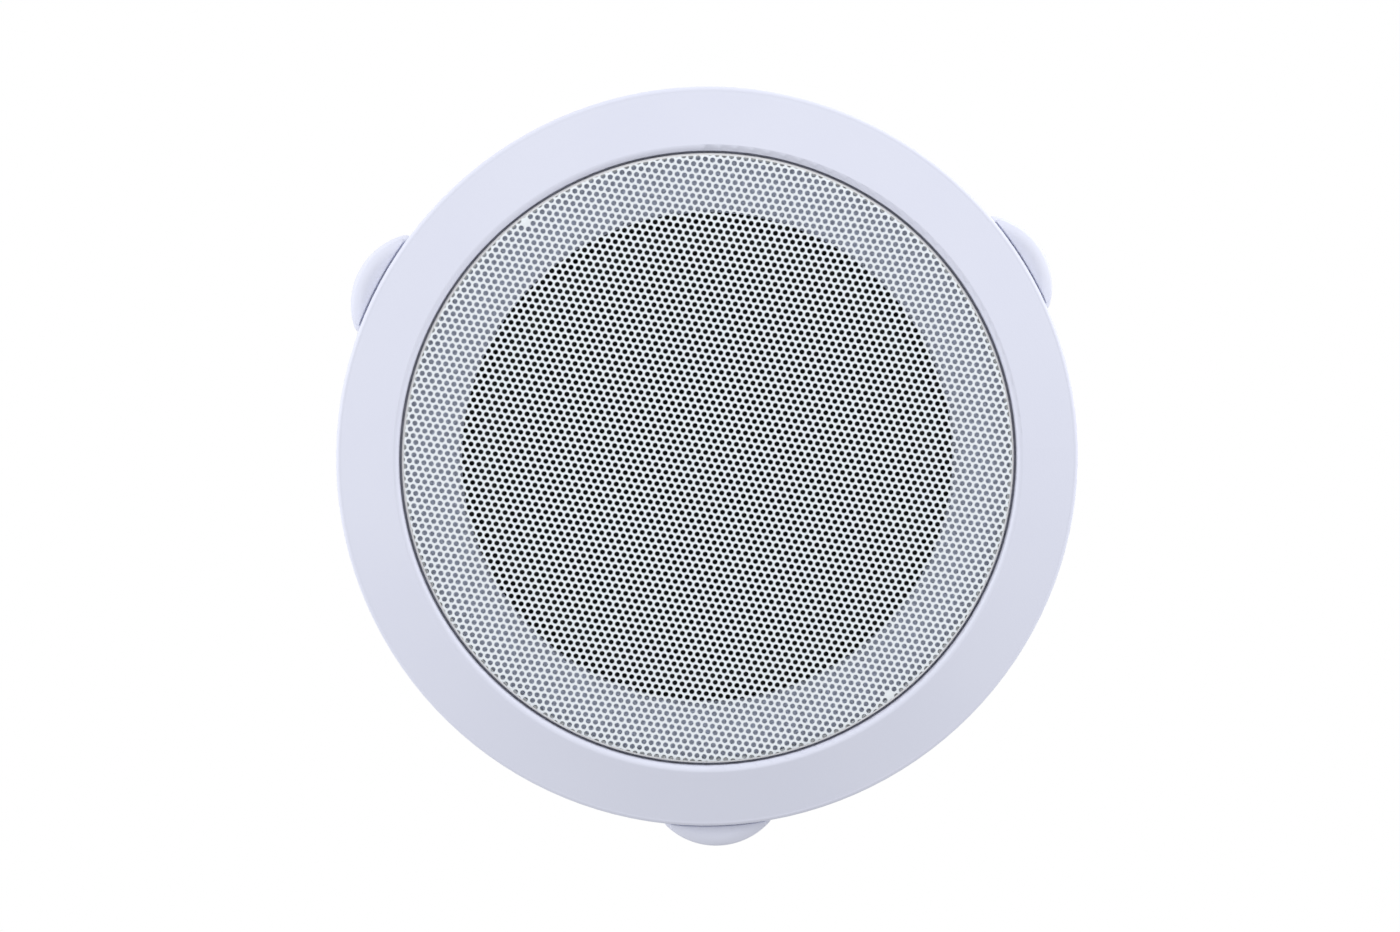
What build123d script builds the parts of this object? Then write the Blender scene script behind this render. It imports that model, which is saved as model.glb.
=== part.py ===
"""In-ceiling speaker: a moulded front frame with a perforated grille, a cone driver behind its
baffle, three spring flaps that clamp the ceiling panel and a push terminal for the wires.

Frame: +Z points up into the ceiling void, the grille faces down, and the origin is on the
speaker's axis in the plane of the rim's rear face, which meets the ceiling. Millimetres.
"""

import math
import os

from build123d import *

# Front frame
opening_diameter = 135.0
baffle_thickness = 3.0
opening_bevel = 0.8
frame_ledge = 6.7
rim_width = 17.3
rim_height = 6.3
rim_edge_height = 2.3
rim_edge_round = 1.2
rim_lip_width = 1.8
rim_lip_depth = 1.3
rim_wall = 2.2
rear_land_width = 3.0
rear_pocket_inset = 1.8
rear_pocket_count = 12
rear_rib_width = 1.4
spigot_wall = 2.3
spigot_height = 8.0
spigot_step = 0.8

# Grille
grille_gap = 0.7
grille_inset = 0.3
grille_skirt = 5.0
grille_sheet = 0.8
grille_bend = 1.4
grille_hole_pitch = 13.5
grille_hole_diameter = 8.8
grille_plain_edge = 4.5

# Driver seat: gasket, bosses and screws
gasket_inset = 0.5
gasket_width = 2.5
gasket_thickness = 3.0
boss_diameter = 6.4
boss_clearance = 0.5
driver_screw_count = 4
driver_screw_diameter = 3.0
driver_screw_head = 6.4
driver_screw_head_height = 2.2
driver_screw_bite = 4.5
screw_hole_clearance = 0.6
thread_clearance = 0.05

# Basket
basket_edge = 3.8
basket_sheet = 1.0
basket_bend = 1.6
basket_depth = 24.0
basket_throat_inset = 5.0
spider_ledge_diameter = 82.0
spider_ledge_width = 9.0
cup_depth = 5.0
cup_taper = 1.0
window_count = 4
window_angle = 56.0
window_margin_front = 4.0
window_margin_rear = 2.2
window_round = 3.0

# Moving cone
surround_lip_gap = 0.2
surround_lip_width = 2.8
surround_roll = 5.0
surround_sheet = 0.6
surround_inner_lip = 1.8
cone_depth = 22.0
cone_bow = 2.0
cone_sheet = 0.9
dust_cap_margin = 4.0
dust_cap_height = 6.0
dust_cap_sheet = 0.6
coil_diameter = 25.4
former_sheet = 0.4
former_front = 1.5
former_tail = 2.0
coil_winding = 0.6
coil_length = 9.0
glue_gap = 0.05
spider_edge_gap = 2.0
spider_sheet = 0.5
spider_fold_count = 6
spider_fold_height = 0.8
spider_joint_gap = 0.2

# Motor
magnet_gap = 0.4
top_plate_diameter = 64.0
top_plate_thickness = 4.0
magnet_diameter = 70.0
magnet_bore_step = 4.0
magnet_thickness = 11.0
yoke_diameter = 64.0
yoke_thickness = 4.5
yoke_bevel = 1.2
motor_bevel = 0.8

# Spring flaps
flap_angles = (90, 210, 330)
flap_reach = 108.4
flap_width = 30.0
flap_tip_rise = 6.9
flap_thickness = 3.6
flap_edge_round = 1.5
flap_corner_round = 3.0
flap_rest_gap = 0.5
hinge_height = 14.0
hinge_inset = 2.2
hinge_pin_diameter = 2.5
hinge_running_gap = 0.06
hinge_fixed_gap = 0.02
knuckle_wall = 2.1
knuckle_side_gap = 0.4
cheek_thickness = 3.0
cheek_depth = 4.0
cheek_margin = 1.0
sill_gap = 0.4
spring_wire = 0.8
spring_turns = 5
spring_coil_gap = 0.1
spring_rest_gap = 0.05
spring_fixed_leg = 11.0
spring_moving_leg = 12.0
spring_room = 12.0
spring_side_gap = 0.8
spring_rib_width = 3.0

# Push terminal
terminal_angle = 270
terminal_length = 35.0
terminal_depth = 11.0
terminal_base_height = 2.5
terminal_block_length = 22.0
terminal_block_height = 12.0
terminal_inset = 2.0
shelf_rise = 6.0
shelf_thickness = 2.5
shelf_margin = 1.5
terminal_screw_spacing = 29.0
terminal_screw_diameter = 2.5
terminal_screw_head = 4.6
terminal_screw_head_height = 1.8
terminal_screw_tail = 1.5
lever_spacing = 10.4
lever_width = 7.0
lever_gap = 0.3
lever_back_wall = 2.0
lever_pocket_depth = 6.0
lever_thickness = 2.6
lever_overhang = 3.2
lever_pivot_diameter = 2.0
lever_pivot_length = 1.0
lever_pivot_inset = 2.3
lever_round = 1.0
wire_hole_diameter = 2.8
wire_hole_depth = 8.0
wire_hole_height = 3.5
contact_width = 4.0
contact_sheet = 0.6
contact_tail = 5.0
contact_slot_gap = 0.1

# Driver tags and leads
tag_strip_width = 18.0
tag_strip_overhang = 10.0
tag_strip_sheet = 1.5
tag_width = 3.0
tag_sheet = 0.5
tag_tail = 4.0
tag_spacing = 10.4
lead_diameter = 1.8
lead_lap = 3.0
lead_free_end = 5.0
lead_bend = 4.5
tinsel_diameter = 1.2
tinsel_reach = 16.0
tinsel_sag = 5.3
tinsel_bend = 2.4
solder_gap = 0.1

# Levels along the axis
grille_front = -rim_height + grille_inset
baffle_front = grille_front + grille_skirt
baffle_rear = baffle_front + baffle_thickness
seat_level = baffle_rear + gasket_thickness
ledge_level = seat_level + basket_depth
cup_level = ledge_level + cup_depth
top_plate_level = cup_level + basket_sheet
magnet_level = top_plate_level + top_plate_thickness
yoke_level = magnet_level + magnet_thickness
neck_level = seat_level + cone_depth
coil_middle = top_plate_level + top_plate_thickness / 2
shelf_level = spigot_height + shelf_rise
block_level = shelf_level + terminal_base_height

# Radii, from the baffle's opening outwards
opening_radius = opening_diameter / 2
gasket_inner = opening_radius + gasket_inset
gasket_outer = gasket_inner + gasket_width
boss_circle = gasket_outer + boss_clearance + boss_diameter / 2
driver_radius = boss_circle + basket_edge
recess_radius = driver_radius + frame_ledge
grille_radius = recess_radius - grille_gap
rim_radius = recess_radius + rim_width
spigot_radius = recess_radius + spigot_wall
bracket_radius = spigot_radius - spigot_step

# Radii, from the voice coil outwards
former_inner = coil_diameter / 2
former_outer = former_inner + former_sheet
coil_inner = former_outer + glue_gap
coil_outer = coil_inner + coil_winding
pole_radius = former_inner - magnet_gap
top_plate_bore = coil_outer + magnet_gap
ledge_outer = spider_ledge_diameter / 2
ledge_inner = ledge_outer - spider_ledge_width
dust_cap_radius = former_outer + dust_cap_margin

# Radii, from the driver's edge inwards
lip_outer = gasket_inner - surround_lip_gap
roll_outer = lip_outer - surround_lip_width
roll_middle = roll_outer - surround_roll
roll_inner = roll_middle - surround_roll
cone_edge = roll_inner
cone_rim_inner = cone_edge - surround_inner_lip
throat_radius = lip_outer - basket_throat_inset

# Hinge of a flap, in its own radial plane. The resting flap slopes down until its underside is just
# off the rim's outer edge.
hinge_radius = recess_radius - hinge_inset
pin_radius = hinge_pin_diameter / 2
knuckle_radius = pin_radius + knuckle_wall
rest_drop = hinge_height - flap_rest_gap
rest_run = rim_radius - hinge_radius
rest_span = math.hypot(rest_drop, rest_run)
slope = math.acos(flap_thickness / 2 / rest_span) - math.atan2(rest_run, rest_drop)
half_flap = flap_width / 2
cheek_start = half_flap + knuckle_side_gap
cheek_end = cheek_start + cheek_thickness
coil_radius = flap_thickness / 2 + spring_rest_gap + spring_wire / 2
spring_pitch = spring_wire + spring_coil_gap
spring_length = spring_pitch * (spring_turns + 0.25 + slope / math.tau)


def turned(section):
    """Solid of revolution about the speaker's axis, from a section drawn as radius and level."""
    return revolve(Plane.XZ * section, Axis.Z)


def ring(inner, outer, low, high):
    """Plain ring about the speaker's axis between two levels."""
    band = Circle(outer) - Circle(inner)
    return extrude(Plane.XY.offset(low) * band, high - low)


def block(low_corner, high_corner):
    """Box between two opposite corners."""
    size = Vector(*high_corner) - Vector(*low_corner)
    middle = (Vector(*high_corner) + Vector(*low_corner)) / 2
    return Pos(middle) * Box(size.X, size.Y, size.Z)


def post(x, y, radius, low, high):
    """Upright round post or hole between two levels."""
    return extrude(Plane((x, y, low)) * Circle(radius), high - low)


def cross_rod(radius_out, level, radius, start, end):
    """Rod along the tangent direction, in the radial plane of a flap or the terminal."""
    rod = Plane(origin=(radius_out, start, level), z_dir=(0, 1, 0)) * Circle(radius)
    return extrude(rod, end - start)


def outline(*lines):
    """Face inside a closed chain of lines and arcs."""
    chain = Curve()
    for line in lines:
        chain += line
    return make_face(chain)


def pressed(points, bend, sheet, side):
    """Section of sheet metal bent along a line of points, thickened to one side."""
    return make_face(offset(FilletPolyline(*points, radius=bend), sheet, side=side))


def around(count, first=0.0):
    """Angles of a pattern spread evenly about the axis."""
    return [first + 360 * step / count for step in range(count)]


def rim_slope(radius):
    """Level of the rim's sloping front face at a radius."""
    crest = recess_radius + rim_lip_width
    edge = rim_radius - rim_edge_round
    share = (radius - crest) / (edge - crest)
    return -rim_height + share * (rim_height - rim_edge_height)


def flap_line(radius):
    """Level of a resting flap's middle plane at a radius, in its own radial plane."""
    return hinge_height - (radius - hinge_radius) * math.tan(slope)


def make_front_frame():
    """White moulding: rim, grille recess, baffle ring, spigot, flap brackets and terminal shelf."""
    crest = recess_radius + rim_lip_width
    lip_level = -rim_height + rim_lip_depth
    edge = rim_radius - rim_edge_round
    lip_bend = rim_lip_width * (1 - math.sqrt(0.5))
    lip_drop = rim_lip_depth * (1 - math.sqrt(0.5))
    edge_bend = rim_edge_round * math.sqrt(0.5)
    edge_foot = -rim_edge_height + rim_edge_round
    section = outline(
        Polyline((recess_radius, baffle_front), (recess_radius, lip_level)),
        ThreePointArc(
            (recess_radius, lip_level),
            (recess_radius + lip_bend, -rim_height + lip_drop),
            (crest, -rim_height),
        ),
        Line((crest, -rim_height), (edge, -rim_edge_height)),
        ThreePointArc(
            (edge, -rim_edge_height),
            (edge + edge_bend, edge_foot - edge_bend),
            (rim_radius, edge_foot),
        ),
        Polyline(
            (rim_radius, edge_foot),
            (rim_radius, 0),
            (spigot_radius, 0),
            (spigot_radius, spigot_height),
            (recess_radius, spigot_height),
            (recess_radius, baffle_rear),
            (opening_radius, baffle_rear),
            (opening_radius, baffle_front + opening_bevel),
            (opening_radius + opening_bevel, baffle_front),
            (recess_radius, baffle_front),
        ),
    )
    frame = turned(section)
    frame -= rear_pockets()
    for angle in around(driver_screw_count, 45):
        frame += Rot(0, 0, angle) * post(
            boss_circle, 0, boss_diameter / 2, baffle_rear, seat_level
        )
    for angle in flap_angles:
        frame -= Rot(0, 0, angle) * bracket_window()
        frame += Rot(0, 0, angle) * flap_bracket()
        frame -= Rot(0, 0, angle) * cross_rod(
            hinge_radius, hinge_height, pin_radius + hinge_fixed_gap, -cheek_end, cheek_end
        )
    frame += Rot(0, 0, terminal_angle) * terminal_shelf()
    for angle in around(driver_screw_count, 45):
        frame -= Rot(0, 0, angle) * post(
            boss_circle,
            0,
            driver_screw_diameter / 2 + thread_clearance,
            seat_level - driver_screw_bite - thread_clearance,
            seat_level,
        )
    return frame


def rear_pockets():
    """Wedge-shaped hollows in the rim's rear, parted by ribs, that keep its wall even."""
    inner = spigot_radius + rear_pocket_inset
    outer = rim_radius - rear_land_width
    section = make_face(
        Polyline(
            (inner, 0),
            (inner, rim_slope(inner) + rim_wall),
            (outer, rim_slope(outer) + rim_wall),
            (outer, 0),
            close=True,
        )
    )
    rib_angle = math.degrees(rear_rib_width / inner)
    pocket = revolve(Plane.XZ * section, Axis.Z, 360 / rear_pocket_count - rib_angle)
    return [Rot(0, 0, angle) * pocket for angle in around(rear_pocket_count, rib_angle / 2)]


def bracket_window():
    """Room for a flap between its cheeks, cut out of the spigot's wall above the sill."""
    return block(
        (recess_radius - cheek_depth, -cheek_start, sill_level()),
        (spigot_radius + spigot_wall, cheek_start, hinge_height + spigot_height),
    )


def sill_level():
    """Top of the spigot's wall under a resting flap."""
    underside = flap_line(spigot_radius) - flap_thickness / 2 / math.cos(slope)
    return underside - sill_gap


def flap_bracket():
    """Two cheeks that hold the pin's ends, and the rib that the spring's fixed leg lies on."""
    cheek_top = knuckle_radius + cheek_margin
    side = make_face(
        Polyline(
            (hinge_radius - cheek_top, hinge_height),
            (hinge_radius - cheek_depth, baffle_rear),
            (spigot_radius, baffle_rear),
            (spigot_radius, hinge_height),
            close=True,
        )
    ) + Pos(hinge_radius, hinge_height) * Circle(cheek_top)
    cheek = extrude(Plane.XZ.offset(-cheek_end) * side, cheek_thickness)
    bracket = cheek + Pos(0, -cheek_start - cheek_end, 0) * cheek
    leg_outside = hinge_radius - coil_radius + spring_wire / 2 + spring_rest_gap
    bracket += block(
        (leg_outside, -spring_length / 2 - spring_rib_width, baffle_rear),
        (recess_radius + spigot_step, -spring_length / 2 + spring_wire, sill_level() - spring_wire),
    )
    return bracket & post(0, 0, bracket_radius, baffle_rear, hinge_height + cheek_top)


def terminal_middle():
    """Radius of the terminal's middle, just inside the spigot."""
    return recess_radius - terminal_inset - terminal_depth / 2


def terminal_shelf():
    """Shelf on two webs behind the baffle, with the terminal's screw holes."""
    middle = terminal_middle()
    half = terminal_length / 2 + shelf_margin
    inner = middle - terminal_depth / 2 - shelf_margin
    shelf = block((inner, -half, shelf_level - shelf_thickness), (spigot_radius, half, shelf_level))
    web_start = driver_radius + shelf_margin
    for side in (-1, 1):
        near, far = sorted((side * half, side * (half - shelf_thickness)))
        shelf += block((web_start, near, baffle_rear), (spigot_radius, far, shelf_level))
    shelf &= post(0, 0, bracket_radius, baffle_rear, shelf_level)
    for side in (-1, 1):
        shelf -= post(
            middle,
            side * terminal_screw_spacing / 2,
            terminal_screw_diameter / 2 + thread_clearance,
            shelf_level - shelf_thickness,
            shelf_level,
        )
    return shelf


def make_grille():
    """Perforated steel dish. Its fine holes are drawn as fewer, larger ones of the same open share."""
    edge = [(0, grille_front), (grille_radius, grille_front), (grille_radius, baffle_front)]
    dish = turned(pressed(edge, grille_bend, grille_sheet, Side.LEFT))
    field = grille_radius - grille_bend - grille_plain_edge
    row_step = grille_hole_pitch * math.sqrt(0.75)
    rows = int(field / row_step)
    holes = Sketch()
    for row in range(-rows, rows + 1):
        shift = grille_hole_pitch / 2 if row % 2 else 0
        across = int(field / grille_hole_pitch) + 1
        for column in range(-across, across + 1):
            x = column * grille_hole_pitch + shift
            y = row * row_step
            if math.hypot(x, y) <= field:
                holes += Pos(x, y) * Circle(grille_hole_diameter / 2)
    return dish - extrude(Plane.XY.offset(grille_front) * holes, grille_sheet)


def make_gasket():
    """Foam ring between the baffle and the basket."""
    return ring(gasket_inner, gasket_outer, baffle_rear, seat_level)


def basket_wall(level):
    """Radius of the basket's sloping wall at a level."""
    share = (level - seat_level) / basket_depth
    return throat_radius + share * (ledge_outer - throat_radius)


def make_basket():
    """Pressed steel basket: flange, windowed wall, ledge for the spider and cup for the motor."""
    line = [
        (driver_radius, seat_level),
        (throat_radius, seat_level),
        (ledge_outer, ledge_level),
        (ledge_inner, ledge_level),
        (ledge_inner - cup_taper, cup_level),
        (top_plate_bore + magnet_gap, cup_level),
    ]
    basket = turned(pressed(line, basket_bend, basket_sheet, Side.RIGHT))
    low = seat_level + window_margin_front
    high = ledge_level - window_margin_rear
    half_turn = math.sin(math.radians(window_angle / 2))
    low_half = basket_wall(low) * half_turn
    high_half = basket_wall(high) * half_turn
    window = make_face(
        Polyline(
            (-low_half, low), (low_half, low), (high_half, high), (-high_half, high), close=True
        )
    )
    window = fillet(window.vertices(), window_round)
    cutter = extrude(Plane.YZ.offset(ledge_inner) * window, driver_radius - ledge_inner)
    for angle in around(window_count):
        basket -= Rot(0, 0, angle) * cutter
    hole_radius = driver_screw_diameter / 2 + screw_hole_clearance
    for angle in around(driver_screw_count, 45):
        basket -= Rot(0, 0, angle) * post(
            boss_circle, 0, hole_radius, seat_level, seat_level + basket_sheet
        )
    return basket


def make_surround():
    """Rubber surround: a lip on the basket's flange, one roll to the front and a lip on the cone."""
    middle_line = seat_level - surround_sheet / 2
    half_sheet = surround_sheet / 2
    reach = surround_roll + surround_sheet
    band = Circle(surround_roll + half_sheet) - Circle(surround_roll - half_sheet)
    front_half = Pos(0, -reach / 2) * Rectangle(2 * reach, reach)
    section = Pos(roll_middle, middle_line) * (band & front_half)
    for start, end in ((roll_outer - half_sheet, lip_outer), (cone_rim_inner, roll_inner + half_sheet)):
        section += Pos((start + end) / 2, middle_line) * Rectangle(end - start, surround_sheet)
    return turned(section)


def cone_front():
    """Front line of the cone's section, from its rim to its neck, slightly flared."""
    rim = Vector(cone_rim_inner, seat_level)
    neck = Vector(coil_inner, neck_level)
    run = neck - rim
    forward = Vector(-run.Y, run.X).normalized()
    if forward.Y > 0:
        forward = -forward
    return ThreePointArc(rim, (rim + neck) / 2 + forward * cone_bow, neck)


def cone_level(radius):
    """Level of the cone's front at a radius, found by halving along its line."""
    line = cone_front()
    low, high = 0.0, 1.0
    for _ in range(40):
        middle = (low + high) / 2
        if (line @ middle).X > radius:
            low = middle
        else:
            high = middle
    return (line @ low).Y


def make_cone():
    """Paper cone with a flat rim under the surround's inner lip."""
    front = cone_front()
    back = Pos(0, cone_sheet) * front
    section = outline(
        front,
        Line(front @ 1, back @ 1),
        back,
        Polyline(
            back @ 0, (cone_edge, seat_level + cone_sheet), (cone_edge, seat_level), front @ 0
        ),
    )
    return turned(section)


def make_dust_cap():
    """Domed cap glued over the cone's neck."""
    rim_level = cone_level(dust_cap_radius) - glue_gap
    top = rim_level - dust_cap_sheet - dust_cap_height
    front_rim = (dust_cap_radius, rim_level - dust_cap_sheet)
    half = (dust_cap_radius**2 + dust_cap_height**2) / (2 * dust_cap_height)
    lean = math.asin(dust_cap_radius / half) / 2
    bend = (half * math.sin(lean), top + half * (1 - math.cos(lean)))
    front = ThreePointArc((0, top), bend, front_rim)
    back = Pos(0, dust_cap_sheet) * front
    return turned(outline(front, Line(front @ 1, back @ 1), back, Line(back @ 0, front @ 0)))


def make_former():
    """Voice coil former: the tube that carries the coil and the cone's neck."""
    tail = coil_middle + coil_length / 2 + former_tail
    return ring(former_inner, former_outer, neck_level - former_front, tail)


def make_voice_coil():
    """Copper winding on the former, centred in the magnet's gap."""
    half = coil_length / 2
    return ring(coil_inner, coil_outer, coil_middle - half, coil_middle + half)


def make_spider():
    """Corrugated cloth ring that centres the coil from the basket's ledge."""
    face = ledge_level - spider_sheet
    start = former_outer + spider_joint_gap
    end = ledge_inner - cup_taper
    fold = (end - start) / spider_fold_count
    front = [Line((ledge_outer - spider_edge_gap, face), (end, face))]
    for step in range(spider_fold_count):
        near = Vector(end - fold * step, face)
        far = near - Vector(fold, 0)
        height = spider_fold_height if step % 2 else -spider_fold_height
        front.append(ThreePointArc(near, (near + far) / 2 + Vector(0, height), far))
    back = [Pos(0, spider_sheet) * line for line in front]
    outer_edge = Line(front[0] @ 0, back[0] @ 0)
    inner_edge = Line(front[-1] @ 1, back[-1] @ 1)
    return turned(outline(*front, inner_edge, *back, outer_edge))


def make_top_plate():
    """Steel washer in front of the magnet."""
    plate = ring(top_plate_bore, top_plate_diameter / 2, top_plate_level, magnet_level)
    return chamfer(plate.edges().group_by(SortBy.LENGTH)[-1], motor_bevel)


def make_magnet():
    """Ferrite ring magnet."""
    bore = top_plate_bore + magnet_bore_step
    body = ring(bore, magnet_diameter / 2, magnet_level, yoke_level)
    return chamfer(body.edges().group_by(SortBy.LENGTH)[-1], motor_bevel)


def make_yoke():
    """Steel back plate and pole piece in one."""
    back = yoke_level + yoke_thickness
    plate = post(0, 0, yoke_diameter / 2, yoke_level, back)
    plate = chamfer(plate.edges().group_by(Axis.Z)[-1], yoke_bevel)
    return plate + post(0, 0, pole_radius, top_plate_level, yoke_level)


def screw(x, y, seat, shank, head, head_height, bite):
    """Pan-head screw, driven down into its seat."""
    cap = post(x, y, head / 2, seat, seat + head_height)
    cap = fillet(cap.edges().group_by(Axis.Z)[-1], head_height / 2)
    return cap + post(x, y, shank / 2, seat - bite, seat)


def make_driver_screws():
    """Screws through the basket's flange into the baffle's bosses."""
    one = screw(
        boss_circle,
        0,
        seat_level + basket_sheet,
        driver_screw_diameter,
        driver_screw_head,
        driver_screw_head_height,
        basket_sheet + driver_screw_bite,
    )
    return [Rot(0, 0, angle) * one for angle in around(driver_screw_count, 45)]


def make_flap():
    """Half-round spring flap with two knuckles, at rest on its way down behind the rim."""
    start = flap_reach - flap_tip_rise
    plan = outline(
        Polyline(
            (start, -half_flap),
            (hinge_radius, -half_flap),
            (hinge_radius, half_flap),
            (start, half_flap),
        ),
        ThreePointArc((start, half_flap), (flap_reach, 0), (start, -half_flap)),
    )
    corners = plan.vertices().group_by(Axis.X)[-1]
    plan = fillet(corners, flap_corner_round)
    reach = flap_reach - hinge_radius
    column = extrude(Plane.XY.offset(hinge_height - 2 * reach) * plan, 4 * reach)
    across = Plane(
        origin=(hinge_radius, 0, hinge_height),
        x_dir=(math.cos(slope), 0, -math.sin(slope)),
        z_dir=(math.sin(slope), 0, math.cos(slope)),
    )
    arm = column & (across * Box(4 * reach, 2 * flap_width, flap_thickness))
    long_edges = arm.edges().filter_by(Axis.Z, reverse=True)
    free_edges = long_edges.filter_by(lambda edge: edge.center().X > hinge_radius + knuckle_radius)
    arm = fillet(free_edges, flap_edge_round)
    flap = arm + cross_rod(hinge_radius, hinge_height, knuckle_radius, -half_flap, half_flap)
    coil_room = coil_radius + spring_wire / 2 + spring_side_gap
    flap -= cross_rod(
        hinge_radius,
        hinge_height,
        max(coil_room, knuckle_radius + spring_rest_gap),
        -spring_room / 2,
        spring_room / 2,
    )
    bore = pin_radius + hinge_running_gap
    return flap - cross_rod(hinge_radius, hinge_height, bore, -half_flap, half_flap)


def make_flap_pin():
    """Steel hinge pin, held in both cheeks."""
    return cross_rod(hinge_radius, hinge_height, pin_radius, -cheek_end, cheek_end)


def make_flap_spring():
    """Torsion spring: one leg down on the frame's rib, the other along the flap's back."""
    base = Plane(
        origin=(hinge_radius, -spring_length / 2, hinge_height), x_dir=(-1, 0, 0), z_dir=(0, 1, 0)
    )
    coil = base * Helix(pitch=spring_pitch, height=spring_length, radius=coil_radius)
    wire = Circle(spring_wire / 2)
    spring = sweep(Plane(origin=coil @ 0, z_dir=coil % 0) * wire, path=coil, is_frenet=True)
    spring += extrude(Plane(origin=coil @ 0, z_dir=-(coil % 0)) * wire, spring_fixed_leg)
    return spring + extrude(Plane(origin=coil @ 1, z_dir=coil % 1) * wire, spring_moving_leg)


def lever_offsets():
    """Places of the two levers along the terminal: black first, then red."""
    return (-lever_spacing / 2, lever_spacing / 2)


def lever_pivot():
    """Radius and level of the levers' common pivot line."""
    inner = terminal_middle() - terminal_depth / 2 + lever_back_wall
    return inner + lever_pivot_inset, block_level + terminal_block_height - lever_thickness / 2


def make_terminal_body():
    """Moulded terminal: a screwed base and a block with a pocket and a wire hole for each lever."""
    middle = terminal_middle()
    inner = middle - terminal_depth / 2
    outer = middle + terminal_depth / 2
    half = terminal_block_length / 2
    top = block_level + terminal_block_height
    body = block((inner, -terminal_length / 2, shelf_level), (outer, terminal_length / 2, block_level))
    body = fillet(body.edges().filter_by(Axis.Z), terminal_base_height / 2)
    body += block((inner, -half, shelf_level), (outer, half, top))
    pivot_radius, pivot_level = lever_pivot()
    hole = lever_pivot_diameter / 2 + hinge_running_gap
    pocket_half = lever_width / 2 + lever_gap
    pivot_half = lever_width / 2 + lever_pivot_length + hinge_running_gap
    floor = block_level + wire_hole_height - contact_sheet - wire_hole_diameter / 2
    for place in lever_offsets():
        body -= block(
            (inner + lever_back_wall, place - pocket_half, top - lever_pocket_depth),
            (outer, place + pocket_half, top),
        )
        body -= cross_rod(pivot_radius, pivot_level, hole, place - pivot_half, place + pivot_half)
        wire_way = Plane(
            origin=(outer, place, block_level + wire_hole_height), z_dir=(-1, 0, 0)
        ) * Circle(wire_hole_diameter / 2)
        body -= extrude(wire_way, wire_hole_depth)
        half_slot = contact_width / 2 + contact_slot_gap
        body -= block(
            (inner, place - half_slot, floor - contact_slot_gap),
            (outer - lever_back_wall, place + half_slot, floor + contact_sheet + contact_slot_gap),
        )
    for side in (-1, 1):
        body -= post(
            middle,
            side * terminal_screw_spacing / 2,
            terminal_screw_diameter / 2 + thread_clearance,
            shelf_level,
            block_level,
        )
    return body


def make_lever(place):
    """Push lever with its two pivot stubs and a rounded thumb end that stands out of the block."""
    pivot_radius, pivot_level = lever_pivot()
    inner = pivot_radius - lever_pivot_inset + lever_gap
    outer = terminal_middle() + terminal_depth / 2 + lever_overhang
    half = lever_width / 2
    low = pivot_level - lever_thickness / 2
    lever = block((inner, place - half, low), (outer, place + half, low + lever_thickness))
    lever = fillet(lever.edges().filter_by(Axis.Y), lever_round)
    stub = half + lever_pivot_length
    return lever + cross_rod(
        pivot_radius, pivot_level, lever_pivot_diameter / 2, place - stub, place + stub
    )


def make_terminal_contacts():
    """Brass strips under the wire holes, with solder tails towards the driver."""
    inner = terminal_middle() - terminal_depth / 2
    outer = inner + terminal_depth - lever_back_wall - contact_slot_gap
    floor = block_level + wire_hole_height - contact_sheet - wire_hole_diameter / 2
    half = contact_width / 2
    return [
        block((inner - contact_tail, place - half, floor), (outer, place + half, floor + contact_sheet))
        for place in lever_offsets()
    ]


def make_terminal_screws():
    """Screws that hold the terminal's base on its shelf."""
    return [
        screw(
            terminal_middle(),
            side * terminal_screw_spacing / 2,
            block_level,
            terminal_screw_diameter,
            terminal_screw_head,
            terminal_screw_head_height,
            terminal_base_height + shelf_thickness + terminal_screw_tail,
        )
        for side in (-1, 1)
    ]


def tag_strip_end():
    """Radius at which the tag strip's overhang ends."""
    return ledge_outer + tag_strip_overhang


def strip_level():
    """Level of the tag strip's lower face, on the rear of the basket's ledge."""
    return ledge_level + basket_sheet


def make_tag_strip():
    """Fibre strip on the rear of the basket's ledge."""
    inner = ledge_inner + basket_sheet + basket_bend
    half = tag_strip_width / 2
    strip = block(
        (inner, -half, strip_level()), (tag_strip_end(), half, strip_level() + tag_strip_sheet)
    )
    return fillet(strip.edges().filter_by(Axis.Z), tag_strip_sheet)


def make_solder_tags():
    """Brass tags on the strip, one for each lead."""
    low = strip_level() + tag_strip_sheet
    half = tag_width / 2
    return [
        block(
            (ledge_outer, side * tag_spacing / 2 - half, low),
            (tag_strip_end() + tag_tail, side * tag_spacing / 2 + half, low + tag_sheet),
        )
        for side in (-1, 1)
    ]


def make_lead(place):
    """Insulated lead from a terminal tail over to a solder tag, lapped on both."""
    radius = lead_diameter / 2
    tail_end = terminal_middle() - terminal_depth / 2 - contact_tail
    tail_top = block_level + wire_hole_height - wire_hole_diameter / 2
    low = tail_top + radius + solder_gap
    high = strip_level() + tag_strip_sheet + tag_sheet + radius + solder_gap
    tag_end = tag_strip_end() + tag_tail
    route = FilletPolyline(
        (tail_end + lead_lap, place, low),
        (tail_end - lead_free_end, place, low),
        (tag_end + lead_lap, place, high),
        (tag_end - lead_lap - lead_free_end, place, high),
        radius=lead_bend,
    )
    return sweep(Plane(origin=route @ 0, z_dir=route % 0) * Circle(radius), path=route)


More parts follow.
